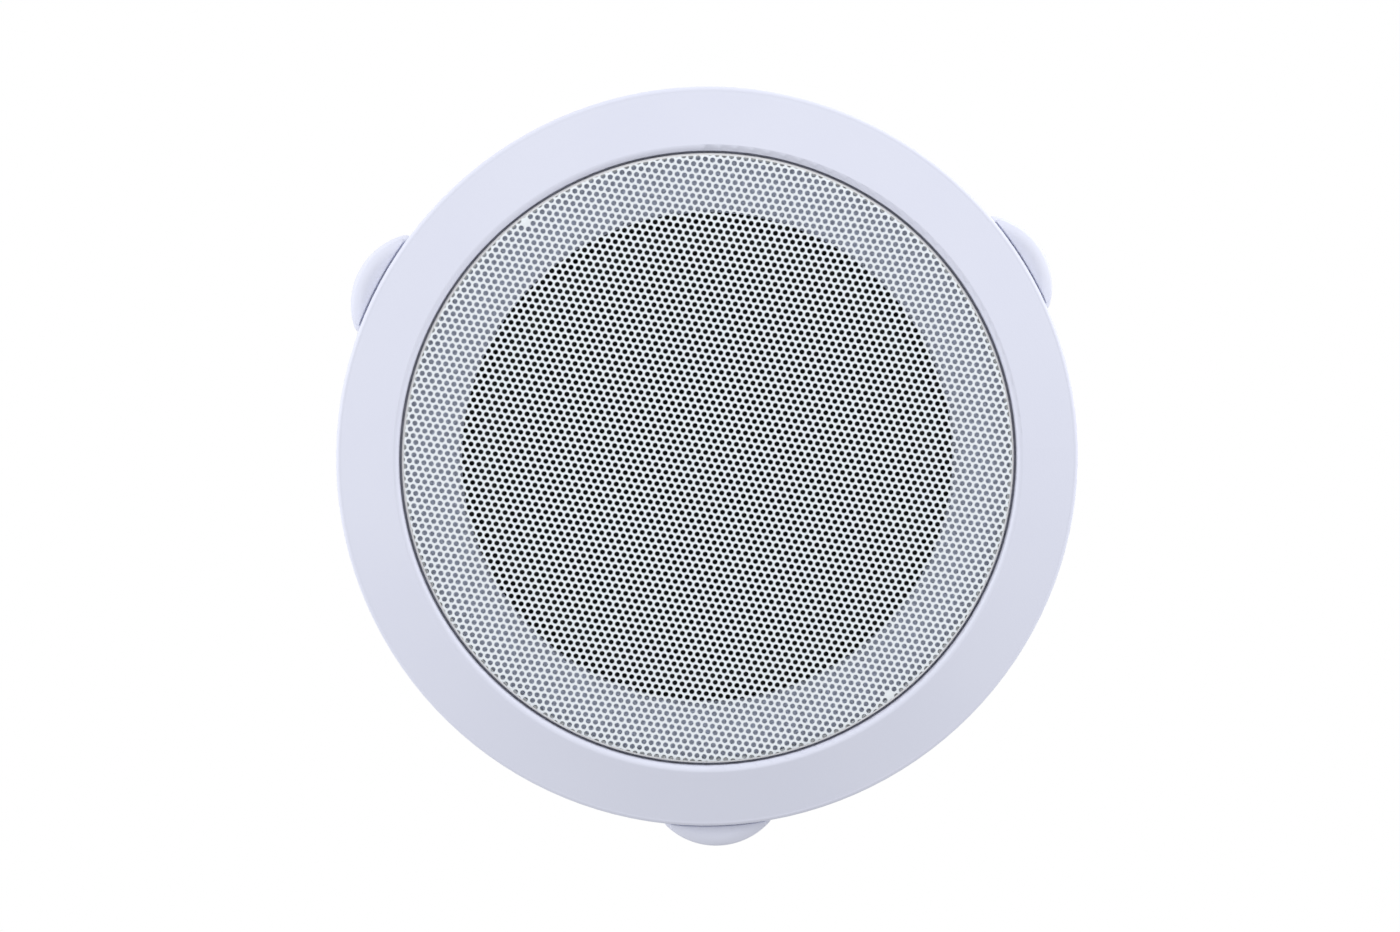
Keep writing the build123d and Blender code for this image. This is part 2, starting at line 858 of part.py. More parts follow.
def make_tinsel_leads():
    """Bare braided leads from the tags in through a window to the back of the cone."""
    radius = tinsel_diameter / 2
    start = tag_strip_end() + tag_tail / 2
    top = strip_level() + tag_strip_sheet - solder_gap
    end = cone_rim_inner - tinsel_reach
    foot = cone_level(end) + cone_sheet + radius + solder_gap
    leads = []
    for side in (-1, 1):
        place = side * tag_spacing / 2
        route = FilletPolyline(
            (start, place, top),
            (start, place, ledge_level - window_margin_rear),
            ((start + end) / 2, place, (top + foot) / 2 - tinsel_sag),
            (end, place, foot),
            radius=tinsel_bend,
        )
        section = Plane(origin=route @ 0, z_dir=route % 0) * Circle(radius)
        leads.append(sweep(section, path=route))
    return leads


def at_terminal(shape):
    """Turn a piece drawn in the +X radial plane to the terminal's side of the speaker."""
    turn = Rot(0, 0, terminal_angle)
    if isinstance(shape, list):
        return [turn * piece for piece in shape]
    return turn * shape


def make_parts():
    """Every piece of the speaker by name, in the order in which it is put together."""
    black_place, red_place = lever_offsets()
    parts = {
        "front_frame": make_front_frame(),
        "grille": make_grille(),
        "gasket": make_gasket(),
        "basket": make_basket(),
        "surround": make_surround(),
        "cone": make_cone(),
        "dust_cap": make_dust_cap(),
        "voice_coil_former": make_former(),
        "voice_coil": make_voice_coil(),
        "spider": make_spider(),
        "top_plate": make_top_plate(),
        "magnet": make_magnet(),
        "yoke": make_yoke(),
        "driver_screws": make_driver_screws(),
        "terminal_body": at_terminal(make_terminal_body()),
        "terminal_lever_black": at_terminal(make_lever(black_place)),
        "terminal_lever_red": at_terminal(make_lever(red_place)),
        "terminal_contacts": at_terminal(make_terminal_contacts()),
        "terminal_screws": at_terminal(make_terminal_screws()),
        "tag_strip": at_terminal(make_tag_strip()),
        "solder_tags": at_terminal(make_solder_tags()),
        "lead_black": at_terminal(make_lead(black_place)),
        "lead_red": at_terminal(make_lead(red_place)),
        "tinsel_leads": at_terminal(make_tinsel_leads()),
    }
    flap, pin, spring = make_flap(), make_flap_pin(), make_flap_spring()
    for number, angle in enumerate(flap_angles, 1):
        turn = Rot(0, 0, angle)
        parts[f"flap_{number}"] = turn * flap
        parts[f"flap_pin_{number}"] = turn * pin
        parts[f"flap_spring_{number}"] = turn * spring
    return parts


def write_parts(parts):
    """Write one STEP file for each piece."""
    os.makedirs("parts", exist_ok=True)
    for name, shape in parts.items():
        solids = shape if isinstance(shape, list) else [shape]
        export_step(Compound(children=list(solids)), f"parts/{name}.step")


write_parts(make_parts())
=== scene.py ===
"""In-ceiling speaker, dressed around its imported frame.

Metres. +Z points up into the ceiling void, the grille faces -Z and the wire terminal is on the -Y side.
"""

import math

import bmesh
import bpy
import numpy as np
from mathutils import Matrix, Vector


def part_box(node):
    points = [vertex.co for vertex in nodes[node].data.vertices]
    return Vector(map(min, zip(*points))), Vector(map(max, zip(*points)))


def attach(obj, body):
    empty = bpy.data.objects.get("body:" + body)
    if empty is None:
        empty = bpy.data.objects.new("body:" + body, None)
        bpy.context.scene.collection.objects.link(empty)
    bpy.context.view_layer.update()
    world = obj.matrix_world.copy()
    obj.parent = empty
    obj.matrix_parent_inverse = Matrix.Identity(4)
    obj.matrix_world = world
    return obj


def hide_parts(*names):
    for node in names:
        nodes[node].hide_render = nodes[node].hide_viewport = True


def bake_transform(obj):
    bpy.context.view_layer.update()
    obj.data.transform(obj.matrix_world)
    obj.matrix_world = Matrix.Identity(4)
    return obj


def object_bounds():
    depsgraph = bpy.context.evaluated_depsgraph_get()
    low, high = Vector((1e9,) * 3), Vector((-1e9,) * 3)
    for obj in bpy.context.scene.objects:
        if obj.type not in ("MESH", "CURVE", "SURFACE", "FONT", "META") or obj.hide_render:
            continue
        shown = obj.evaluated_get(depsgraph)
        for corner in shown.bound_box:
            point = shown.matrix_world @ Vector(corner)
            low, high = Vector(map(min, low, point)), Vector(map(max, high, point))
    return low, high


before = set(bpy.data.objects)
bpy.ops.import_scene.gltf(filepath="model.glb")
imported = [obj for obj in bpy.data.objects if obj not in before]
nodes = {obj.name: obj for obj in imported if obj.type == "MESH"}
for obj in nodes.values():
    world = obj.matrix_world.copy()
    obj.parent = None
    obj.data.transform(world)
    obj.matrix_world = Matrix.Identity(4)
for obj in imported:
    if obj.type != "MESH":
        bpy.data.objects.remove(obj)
cad_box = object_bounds()

# Front frame: one white ABS moulding that holds everything else, with the sloping rim, the grille's
# recess, the baffle and the spigot that goes up into the ceiling. It is injection moulded in a lightly
# eroded tool, so its skin is satin with a fine grain.
MM = 0.001
ERODED_GRAIN = 0.5  # about five times the real grain, which is too fine to show


def linear(color):
    """Linear RGBA of an sRGB hex colour."""
    shares = [int(color[place : place + 2], 16) / 255 for place in (0, 2, 4)]
    return (*(s / 12.92 if s <= 0.04045 else ((s + 0.055) / 1.055) ** 2.4 for s in shares), 1.0)


def per(size):
    """Noise or cell scale at which a pattern repeats about once in a size, given in millimetres."""
    return 1 / (size * MM)


def add(tree, kind, sockets=None, **settings):
    """Adds one node. Settings are its own properties, and sockets are values, nodes or links by input."""
    node = tree.nodes.new(kind)
    for name, value in settings.items():
        setattr(node, name, value)
    for key, value in (sockets or {}).items():
        for source in value if isinstance(value, list) else [value]:
            if isinstance(source, bpy.types.Node):
                source = source.outputs[0]
            if isinstance(source, bpy.types.NodeSocket):
                tree.links.new(source, node.inputs[key])
            else:
                node.inputs[key].default_value = source
    return node


def surface(name, **sockets):
    """A new material with one surface shader, and its tree, shader and object coordinates."""
    material = bpy.data.materials.new(name)
    material.use_nodes = True
    tree = material.node_tree
    tree.nodes.clear()
    shader = add(tree, "ShaderNodeBsdfPrincipled", {key.replace("_", " "): v for key, v in sockets.items()})
    add(tree, "ShaderNodeOutputMaterial", {"Surface": shader})
    return material, tree, shader, add(tree, "ShaderNodeTexCoord").outputs["Object"]


def finish(tree, shader, tones=None, rough=None, relief=None):
    """Colours, roughens and raises a shader, each by a pattern.

    After its pattern, tones has two hex colours, rough two roughnesses and relief a depth in millimetres.
    """
    if tones:
        pattern, first, second = tones
        mix = {0: pattern, 6: linear(first), 7: linear(second)}
        mix = add(tree, "ShaderNodeMix", mix, data_type="RGBA")
        tree.links.new(mix.outputs[2], shader.inputs["Base Color"])
    if rough:
        pattern, low, high = rough
        span = add(tree, "ShaderNodeMapRange", {"Value": pattern, "To Min": low, "To Max": high})
        tree.links.new(span.outputs[0], shader.inputs["Roughness"])
    if relief:
        pattern, depth = relief
        bump = add(tree, "ShaderNodeBump", {"Height": pattern, "Strength": 1.0, "Distance": depth * MM})
        tree.links.new(bump.outputs[0], shader.inputs["Normal"])


def make_white_abs():
    """Moulded white ABS: satin, a little cool in tone, with the tool's fine grain and slow flow clouds."""
    material, tree, shader, place = surface("white_abs", IOR=1.53)
    clouds = add(tree, "ShaderNodeTexNoise", {"Vector": place, "Scale": per(40), "Detail": 3.0})
    grain = add(tree, "ShaderNodeTexNoise", {"Vector": place, "Scale": per(ERODED_GRAIN), "Detail": 2.0})
    finish(
        tree, shader, tones=(clouds, "DCDFF0", "E2E5F4"), rough=(grain, 0.52, 0.66), relief=(grain, 0.012)
    )
    return material


def dress(material, *names):
    """Gives CAD nodes their finished material."""
    for name in names:
        nodes[name].data.materials.clear()
        nodes[name].data.materials.append(material)


white_abs = make_white_abs()
dress(white_abs, "front_frame")

# Grille: a dish of perforated steel sheet pressed into the recess, with round holes in staggered rows
# that run out to its rolled edge. It is powder coated white after pressing, and the coat has closed the
# holes at the two hooks that it hung from.
HOLE_PITCH = 2.0 * MM
HOLE_DIAMETER = 1.42 * MM
HOLE_SIDES = 12
SPARE_LINES = 3
ROW_TURN = math.radians(10.2)
GRILLE_SHEET = 1.1 * MM  # a little over the real sheet, so that holes in front of white look deep enough
GRILLE_BEND = 1.4 * MM
HOLES_PAST_FLAT = 0.85 * MM
BEND_STEPS = 8
EDGE_STEPS = 240
CRISP_HOLE = 45
WELD_SHARE = 0.02
SAME_POINT = 0.001 * MM
COAT_HOOK = Vector((48.5, 66.35)) * MM
COAT_REACH = 1.15 * MM


def make_powder_coat():
    """White powder coat on steel: an even satin skin with a faint orange peel."""
    material, tree, shader, place = surface("white_powder_coat", IOR=1.5)
    clouds = add(tree, "ShaderNodeTexNoise", {"Vector": place, "Scale": per(30), "Detail": 2.0})
    peel = add(tree, "ShaderNodeTexNoise", {"Vector": place, "Scale": per(0.6), "Detail": 1.0})
    finish(
        tree, shader, tones=(clouds, "ECF2F8", "F2F8FD"), rough=(peel, 0.45, 0.58), relief=(peel, 0.01)
    )
    return material


def make_perforation_tree(material):
    """Tree that tiles a round field with six-sided cells of sheet, each with its hole, and thickens it."""
    tree = bpy.data.node_groups.new("perforated_sheet", "GeometryNodeTree")
    kinds = {
        "NodeSocketFloat": ("Pitch", "Hole Radius", "Sheet", "Level", "Flat Radius", "Bend", "Field Radius")
        + ("Inner Cut", "Outer Cut", "Closed Reach"),
        "NodeSocketInt": ("Hole Sides", "Rows", "Columns"),
        "NodeSocketVector": ("Turn", "Closed Spot"),
    }
    for kind, names in kinds.items():
        for name in names:
            tree.interface.new_socket(name, in_out="INPUT", socket_type=kind)
    tree.interface.new_socket("Mesh", in_out="OUTPUT", socket_type="NodeSocketGeometry")
    given = add(tree, "NodeGroupInput").outputs
    pitch = given["Pitch"]

    # Rows of hole centres, with every second row moved on by half a pitch
    row_step = add(tree, "ShaderNodeMath", {0: pitch, 1: math.sqrt(0.75)}, operation="MULTIPLY")
    columns_less = add(tree, "ShaderNodeMath", {0: given["Columns"], 1: 1.0}, operation="SUBTRACT")
    rows_less = add(tree, "ShaderNodeMath", {0: given["Rows"], 1: 1.0}, operation="SUBTRACT")
    lattice = {
        "Size X": add(tree, "ShaderNodeMath", {0: pitch, 1: columns_less}, operation="MULTIPLY"),
        "Size Y": add(tree, "ShaderNodeMath", {0: row_step, 1: rows_less}, operation="MULTIPLY"),
        "Vertices X": given["Columns"],
        "Vertices Y": given["Rows"],
    }
    centres = add(tree, "GeometryNodeMeshGrid", lattice)
    place = add(tree, "GeometryNodeInputPosition")
    across = add(tree, "ShaderNodeSeparateXYZ", {0: place}).outputs["Y"]
    row = add(tree, "ShaderNodeMath", {0: across, 1: row_step}, operation="DIVIDE")
    row = add(tree, "ShaderNodeMath", {0: row}, operation="ROUND")
    odd_row = add(tree, "ShaderNodeMath", {0: row, 1: 2.0}, operation="FLOORED_MODULO")
    half_pitch = add(tree, "ShaderNodeMath", {0: pitch, 1: 0.5}, operation="MULTIPLY")
    shift = add(tree, "ShaderNodeMath", {0: odd_row, 1: half_pitch}, operation="MULTIPLY")
    stagger = add(tree, "ShaderNodeCombineXYZ", {"X": shift})
    centres = add(tree, "GeometryNodeSetPosition", {"Geometry": centres, "Offset": stagger})
    reach = add(tree, "ShaderNodeVectorMath", {0: place}, operation="LENGTH").outputs["Value"]
    limit = add(tree, "ShaderNodeMath", {0: given["Field Radius"], 1: pitch}, operation="ADD")
    beyond = add(tree, "FunctionNodeCompare", {0: reach, 1: limit}, operation="GREATER_THAN")
    centres = add(tree, "GeometryNodeDeleteGeometry", {0: centres, 1: beyond}, domain="POINT")

    # One cell with its hole and one that the coat has closed
    cell_radius = add(tree, "ShaderNodeMath", {0: pitch, 1: math.sqrt(3)}, operation="DIVIDE")
    border = add(tree, "GeometryNodeCurvePrimitiveCircle", {"Resolution": 6, "Radius": cell_radius})
    border = add(tree, "GeometryNodeTransform", {0: border, "Rotation": (0, 0, math.radians(30))})
    round_hole = {"Resolution": given["Hole Sides"], "Radius": given["Hole Radius"]}
    hole = add(tree, "GeometryNodeCurvePrimitiveCircle", round_hole)
    ringed = add(tree, "GeometryNodeJoinGeometry", {0: [border, hole]})
    open_cell = add(tree, "GeometryNodeFillCurve", {0: ringed})
    closed_cell = add(tree, "GeometryNodeFillCurve", {0: border})
    at_hooks = []
    for way in (1, -1):
        spot = add(tree, "ShaderNodeVectorMath", {0: given["Closed Spot"], "Scale": way}, operation="SCALE")
        away = add(tree, "ShaderNodeVectorMath", {0: place, 1: spot}, operation="DISTANCE").outputs["Value"]
        near = {0: away, 1: given["Closed Reach"]}
        at_hooks.append(add(tree, "FunctionNodeCompare", near, operation="LESS_THAN"))
    closed = add(tree, "FunctionNodeBooleanMath", {0: at_hooks[0], 1: at_hooks[1]}, operation="OR")
    clear = add(tree, "FunctionNodeBooleanMath", {0: closed}, operation="NOT")
    cells = []
    for cell, chosen in ((open_cell, clear), (closed_cell, closed)):
        tiles = {"Points": centres, "Instance": cell, "Selection": chosen}
        cells.append(add(tree, "GeometryNodeInstanceOnPoints", tiles))
    sheet = add(tree, "GeometryNodeJoinGeometry", {0: cells})
    sheet = add(tree, "GeometryNodeRealizeInstances", {0: sheet})
    weld = add(tree, "ShaderNodeMath", {0: given["Hole Radius"], 1: WELD_SHARE}, operation="MULTIPLY")
    sheet = add(tree, "GeometryNodeMergeByDistance", {"Geometry": sheet, "Distance": weld})
    sheet = add(tree, "GeometryNodeTransform", {0: sheet, "Rotation": given["Turn"]})

    # The field is trimmed to its circle, and each mesh holds one share of it
    past = add(tree, "FunctionNodeCompare", {0: reach, 1: given["Field Radius"]}, operation="GREATER_THAN")
    past = add(tree, "GeometryNodeFieldOnDomain", {0: past}, data_type="BOOLEAN", domain="POINT")
    sheet = add(tree, "GeometryNodeDeleteGeometry", {0: sheet, 1: past}, domain="FACE")
    held = add(tree, "ShaderNodeMath", {0: reach, 1: given["Field Radius"]}, operation="MINIMUM")
    outward = add(tree, "ShaderNodeVectorMath", {0: place}, operation="NORMALIZE")
    on_field = add(tree, "ShaderNodeVectorMath", {0: outward, "Scale": held}, operation="SCALE")
    sheet = add(tree, "GeometryNodeSetPosition", {"Geometry": sheet, "Position": on_field})
    sheet = add(tree, "GeometryNodeMergeByDistance", {"Geometry": sheet, "Distance": weld})
    inside = add(tree, "FunctionNodeCompare", {0: reach, 1: given["Inner Cut"]}, operation="LESS_THAN")
    outside = add(tree, "FunctionNodeCompare", {0: reach, 1: given["Outer Cut"]}, operation="GREATER_EQUAL")
    other_share = add(tree, "FunctionNodeBooleanMath", {0: inside, 1: outside}, operation="OR")
    sheet = add(tree, "GeometryNodeDeleteGeometry", {0: sheet, 1: other_share}, domain="FACE")

    # Past the flat radius the sheet follows the bend, and then it gets its thickness from the front back
    over = add(tree, "ShaderNodeMath", {0: reach, 1: given["Flat Radius"]}, operation="SUBTRACT")
    over = add(tree, "ShaderNodeMath", {0: over, 1: 0.0}, operation="MAXIMUM")
    over = add(tree, "ShaderNodeMath", {0: over, 1: given["Bend"]}, operation="DIVIDE")
    fallen = add(tree, "ShaderNodeMath", {0: over}, operation="ARCSINE")
    fallen = add(tree, "ShaderNodeMath", {0: fallen}, operation="COSINE")
    fallen = add(tree, "ShaderNodeMath", {0: 1.0, 1: fallen}, operation="SUBTRACT")
    fallen = add(tree, "ShaderNodeMath", {0: fallen, 1: given["Bend"]}, operation="MULTIPLY")
    fallen = add(tree, "ShaderNodeCombineXYZ", {"Z": fallen})
    sheet = add(tree, "GeometryNodeSetPosition", {"Geometry": sheet, "Offset": fallen})
    depth = add(tree, "ShaderNodeCombineXYZ", {"Z": given["Sheet"]})
    back = {"Mesh": sheet, "Offset": depth, "Offset Scale": 1.0, "Individual": False}
    back = add(tree, "GeometryNodeExtrudeMesh", back, mode="FACES")
    front = add(tree, "GeometryNodeFlipFaces", {0: sheet})
    plate = add(tree, "GeometryNodeJoinGeometry", {0: [back, front]})
    plate = add(tree, "GeometryNodeMergeByDistance", {"Geometry": plate, "Distance": weld})
    level = add(tree, "ShaderNodeCombineXYZ", {"Z": given["Level"]})
    plate = add(tree, "GeometryNodeTransform", {0: plate, "Translation": level})

    # Crisp hole edges and smooth hole walls
    fold = add(tree, "GeometryNodeInputMeshEdgeAngle")
    limit = math.radians(CRISP_HOLE)
    crisp = add(tree, "FunctionNodeCompare", {0: fold, 1: limit}, operation="GREATER_THAN")
    mark = {"Geometry": plate, "Name": "sharp_edge", "Value": crisp}
    plate = add(tree, "GeometryNodeStoreNamedAttribute", mark, data_type="BOOLEAN", domain="EDGE")
    plate = add(tree, "GeometryNodeSetShadeSmooth", {0: plate, "Shade Smooth": True})
    plate = add(tree, "GeometryNodeRealizeInstances", {0: plate})
    plate = add(tree, "GeometryNodeSetMaterial", {"Geometry": plate, "Material": material})
    add(tree, "NodeGroupOutput", {0: plate})
    return tree


def new_piece(name, data):
    """A new object at the origin with a mesh or curve that is already in its place."""
    piece = bpy.data.objects.new(name, data)
    bpy.context.scene.collection.objects.link(piece)
    return piece


def settled(piece):
    """Turns what a piece's modifiers make of it into its plain mesh."""
    shown = piece.evaluated_get(bpy.context.evaluated_depsgraph_get())
    made = bpy.data.meshes.new_from_object(shown)
    piece.modifiers.clear()
    piece.data = made
    return piece


def grown(name, mesh, tree, sizes):
    """A new piece whose mesh is what a tree makes of a start mesh and named sizes."""
    piece = new_piece(name, mesh)
    modifier = piece.modifiers.new(tree.name, "NODES")
    modifier.node_group = tree
    for item in tree.interface.items_tree:
        if item.name in sizes:
            modifier[item.identifier] = sizes[item.name]
    return settled(piece)


def face_outwards(shape):
    """Merges doubles in a closed shape and turns its faces outwards."""
    bmesh.ops.remove_doubles(shape, verts=shape.verts, dist=SAME_POINT)
    bmesh.ops.recalc_face_normals(shape, faces=shape.faces)


def turned(section, steps):
    """Ring turned about the axis from a closed section of radius and level points."""
    shape = bmesh.new()
    loops = []
    for step in range(steps):
        turn = math.tau * step / steps
        loops.append([shape.verts.new((r * math.cos(turn), r * math.sin(turn), z)) for r, z in section])
    for step, loop in enumerate(loops):
        following = loops[(step + 1) % steps]
        for place in range(len(section)):
            beside = (place + 1) % len(section)
            shape.faces.new((loop[place], following[place], following[beside], loop[beside]))
    return shape


def smooth_to(shape, angle):
    """Shades a shape smooth, apart from edges that fold by more than an angle in degrees."""
    for face in shape.faces:
        face.smooth = True
    for edge in shape.edges:
        edge.smooth = edge.calc_face_angle(0) < math.radians(angle)


def rolled_edge_section(low, high):
    """Section of the dish's edge: the rest of the bend past the holes, and the skirt behind it."""
    middle = Vector((high.x - GRILLE_BEND, low.z + GRILLE_BEND))
    first = math.asin(HOLES_PAST_FLAT / GRILLE_BEND) - math.pi / 2
    turns = [first * (1 - step / BEND_STEPS) for step in range(BEND_STEPS + 1)]
    bend = [middle + GRILLE_BEND * Vector((math.cos(turn), math.sin(turn))) for turn in turns]
    inside = high.x - GRILLE_SHEET
    skirt = [Vector((high.x, high.z)), Vector((inside, high.z)), Vector((inside, middle.y))]
    return bend + skirt + [bend[0] + Vector((0, GRILLE_SHEET))]


grille_low, grille_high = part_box("grille")
flat_radius = grille_high.x - GRILLE_BEND
field_radius = flat_radius + HOLES_PAST_FLAT
# A hole with flat sides is a little wider than the round one, so that as much of the sheet is open
same_area = math.sqrt(math.tau / HOLE_SIDES / math.sin(math.tau / HOLE_SIDES))
perforation = make_perforation_tree(make_powder_coat())
# The sheet is one piece of steel, made as two meshes of equal area because it has so many holes
half_area = math.sqrt(0.5)
for share, inner_cut, outer_cut in (("field", 0.0, half_area), ("edge", half_area, 1.0)):
    grille = grown(
        f"grille_{share}",
        bpy.data.meshes.new(f"grille_{share}"),
        perforation,
        {
            "Pitch": HOLE_PITCH,
            "Hole Radius": HOLE_DIAMETER / 2 * same_area,
            "Hole Sides": HOLE_SIDES,
            "Sheet": GRILLE_SHEET,
            "Level": grille_low.z,
            "Flat Radius": flat_radius,
            "Bend": GRILLE_BEND,
            "Field Radius": field_radius,
            "Inner Cut": inner_cut * field_radius,
            "Outer Cut": outer_cut * field_radius,
            "Rows": 2 * math.ceil(field_radius / HOLE_PITCH / math.sqrt(0.75)) + SPARE_LINES,
            "Columns": 2 * math.ceil(field_radius / HOLE_PITCH) + SPARE_LINES,
            "Turn": (0.0, 0.0, ROW_TURN),
            "Closed Spot": (*(Matrix.Rotation(-ROW_TURN, 2) @ COAT_HOOK), 0.0),
            "Closed Reach": COAT_REACH,
        },
    )
    shape = bmesh.new()
    shape.from_mesh(grille.data)
    bmesh.ops.recalc_face_normals(shape, faces=shape.faces)
    if share == "edge":
        edge = turned(rolled_edge_section(grille_low, grille_high), EDGE_STEPS)
        face_outwards(edge)
        smooth_to(edge, CRISP_HOLE)
        edge_mesh = bpy.data.meshes.new("rolled_edge")
        edge.to_mesh(edge_mesh)
        edge.free()
        shape.from_mesh(edge_mesh)
    shape.to_mesh(grille.data)
    shape.free()
    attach(grille, "frame")
    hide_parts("grille")

# Gasket: a ring of black closed-cell foam, die cut from sheet, pressed between the baffle and the
# driver's flange so that no air passes.
def make_foam():
    """Black foam: matte, with the cut cells showing as small pits."""
    material, tree, shader, place = surface("black_foam", Roughness=0.95)
    cells = add(tree, "ShaderNodeTexVoronoi", {"Vector": place, "Scale": per(0.5)})
    finish(tree, shader, tones=(cells, "141414", "2A2A2A"), relief=(cells, 0.2))
    return material


dress(make_foam(), "gasket")

# Basket: the driver's chassis, pressed from steel sheet, with windows punched in its wall. It is dip
# coated black, which leaves a thin, slightly uneven film with a low gloss.
def make_black_coat():
    """Black electrophoretic coat on pressed steel: low gloss over a faint draw texture."""
    material, tree, shader, place = surface("black_dip_coat", IOR=1.5)
    film = add(tree, "ShaderNodeTexNoise", {"Vector": place, "Scale": per(8), "Detail": 5.0})
    peel = add(tree, "ShaderNodeTexNoise", {"Vector": place, "Scale": per(0.9), "Detail": 2.0})
    finish(tree, shader, tones=(film, "18191B", "232426"), rough=(film, 0.34, 0.5), relief=(peel, 0.02))
    return material


dress(make_black_coat(), "basket")

# Surround: the moulded rubber roll that holds the cone in the basket and lets it travel. Its outer lip
# is glued to the flange and its inner lip to the cone.
CRISP_FOLD = 40


def make_rubber():
    """Moulded butyl rubber: deep black and matte, with a dull bloom in patches."""
    material, tree, shader, place = surface("butyl_rubber", IOR=1.52)
    bloom = add(tree, "ShaderNodeTexNoise", {"Vector": place, "Scale": per(12), "Detail": 4.0})
    grain = add(tree, "ShaderNodeTexNoise", {"Vector": place, "Scale": per(0.4), "Detail": 2.0})
    finish(
        tree, shader, tones=(bloom, "121213", "1E1E1F"), rough=(bloom, 0.55, 0.75), relief=(grain, 0.02)
    )
    return material


def joined(node):
    """Shape of a CAD node with its loose triangles joined."""
    shape = bmesh.new()
    shape.from_mesh(nodes[node].data)
    bmesh.ops.remove_doubles(shape, verts=shape.verts, dist=SAME_POINT)
    return shape


def shaded_mesh(shape, name, material):
    """Mesh of a shape, smooth apart from its sharp edges, with none of the CAD node's own normals."""
    smooth_to(shape, CRISP_FOLD)
    mesh = bpy.data.meshes.new(name)
    shape.to_mesh(mesh)
    shape.free()
    mesh.attributes.remove(mesh.attributes["custom_normal"])
    mesh.materials.append(material)
    return mesh


def soft_copy(node, name, material):
    """A smooth-shaded copy of a CAD node, in place of that node."""
    piece = new_piece(name, shaded_mesh(joined(node), name, material))
    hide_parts(node)
    return piece


def bend_inwards(ring):
    """Bakes a ring's placement into its mesh."""
    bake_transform(ring)


surround = soft_copy("surround", "rubber_surround", make_rubber())
bend_inwards(surround)

# Cone and dust cap: both are felted from paper pulp on a screen, dyed black and pressed. The cap is
# glued over the cone's neck.
def make_pulp_paper():
    """Pressed paper pulp: soft charcoal black with matted fibres, quite rough."""
    material, tree, shader, place = surface("black_pulp_paper", Roughness=0.9)
    stretch = add(tree, "ShaderNodeMapping", {"Vector": place, "Scale": (1.0, 0.3, 0.6)})
    fibres = {"Vector": stretch, "Scale": per(0.8), "Detail": 6.0, "Distortion": 1.5}
    fibres = add(tree, "ShaderNodeTexNoise", fibres)
    finish(tree, shader, tones=(fibres, "0F0F10", "2A2A2C"), relief=(fibres, 0.12))
    return material


dress(make_pulp_paper(), "cone", "dust_cap")

# Voice coil: enamelled copper wire wound on a tube of aluminium foil, which is glued into the cone's
# neck and hangs in the magnet's gap.
WIRE_TURN = 0.3
ROLLING_LINE = 0.4


def wave_per(size):
    """Wave scale at which a band repeats once in a size, given in millimetres."""
    return math.tau / 20 / (size * MM)


def make_former_foil():
    """Aluminium foil: bright, with faint rolling lines around the tube."""
    material, tree, shader, place = surface("aluminium_foil", Base_Color=linear("C9CACC"), Metallic=1.0)
    lines = {"Vector": place, "Scale": wave_per(ROLLING_LINE), "Distortion": 1.0}
    lines = add(tree, "ShaderNodeTexWave", lines, wave_type="BANDS", bands_direction="Z")
    finish(tree, shader, rough=(lines, 0.25, 0.4))
    return material


def make_copper_winding():
    """Enamelled copper: reddish wire, turn beside turn, under a clear varnish."""
    material, tree, shader, place = surface("enamelled_copper", Metallic=1.0, Coat_Weight=0.6)
    turns = {"Vector": place, "Scale": wave_per(WIRE_TURN)}
    turns = add(tree, "ShaderNodeTexWave", turns, wave_type="BANDS", bands_direction="Z")
    finish(tree, shader, tones=(turns, "6A3517", "C0703A"), rough=(turns, 0.3, 0.42), relief=(turns, 0.1))
    return material


dress(make_former_foil(), "voice_coil_former")
dress(make_copper_winding(), "voice_coil")

# Spider: the corrugated cloth ring that centres the coil. It is cotton cloth stiffened with amber
# resin and pressed hot, glued to the basket's ledge and to the former.
THREAD = 0.7


def make_resin_cloth():
    """Resin-stiffened cotton: amber, with an open plain weave."""
    material, tree, shader, place = surface("resin_cloth", Roughness=0.7, Sheen_Weight=0.2)
    thread = {"Vector": place, "Scale": wave_per(THREAD)}
    warp = add(tree, "ShaderNodeTexWave", thread, wave_type="BANDS", bands_direction="X")
    weft = add(tree, "ShaderNodeTexWave", thread, wave_type="BANDS", bands_direction="Y")
    weave = add(tree, "ShaderNodeMath", {0: warp, 1: weft}, operation="MULTIPLY")
    finish(tree, shader, tones=(weave, "8A6226", "C99A4E"), relief=(weave, 0.15))
    return material


spider = soft_copy("spider", "cloth_spider", make_resin_cloth())
bend_inwards(spider)

# Motor: a ferrite ring magnet between a steel washer and a turned steel yoke whose pole stands inside
# the coil. The steel is zinc plated, and the three are glued in a stack on the basket's cup.
TURNING_MARK = 0.9  # about four times the lathe's feed, which is too fine to show


def make_zinc_plate(name, turned_marks):
    """Zinc-plated steel: bright grey with a cool cast, cloudy from the plating bath."""
    material, tree, shader, place = surface(name, Metallic=1.0)
    clouds = add(tree, "ShaderNodeTexNoise", {"Vector": place, "Scale": per(6), "Detail": 4.0})
    if turned_marks:
        marks = {"Vector": place, "Scale": wave_per(TURNING_MARK), "Distortion": 0.4}
        marks = add(tree, "ShaderNodeTexWave", marks, wave_type="RINGS", rings_direction="Z")
        finish(tree, shader, rough=(marks, 0.32, 0.44), relief=(marks, 0.015))
    else:
        finish(tree, shader, rough=(clouds, 0.24, 0.4))
    finish(tree, shader, tones=(clouds, "A9ACB0", "CDD0D2"))
    return material


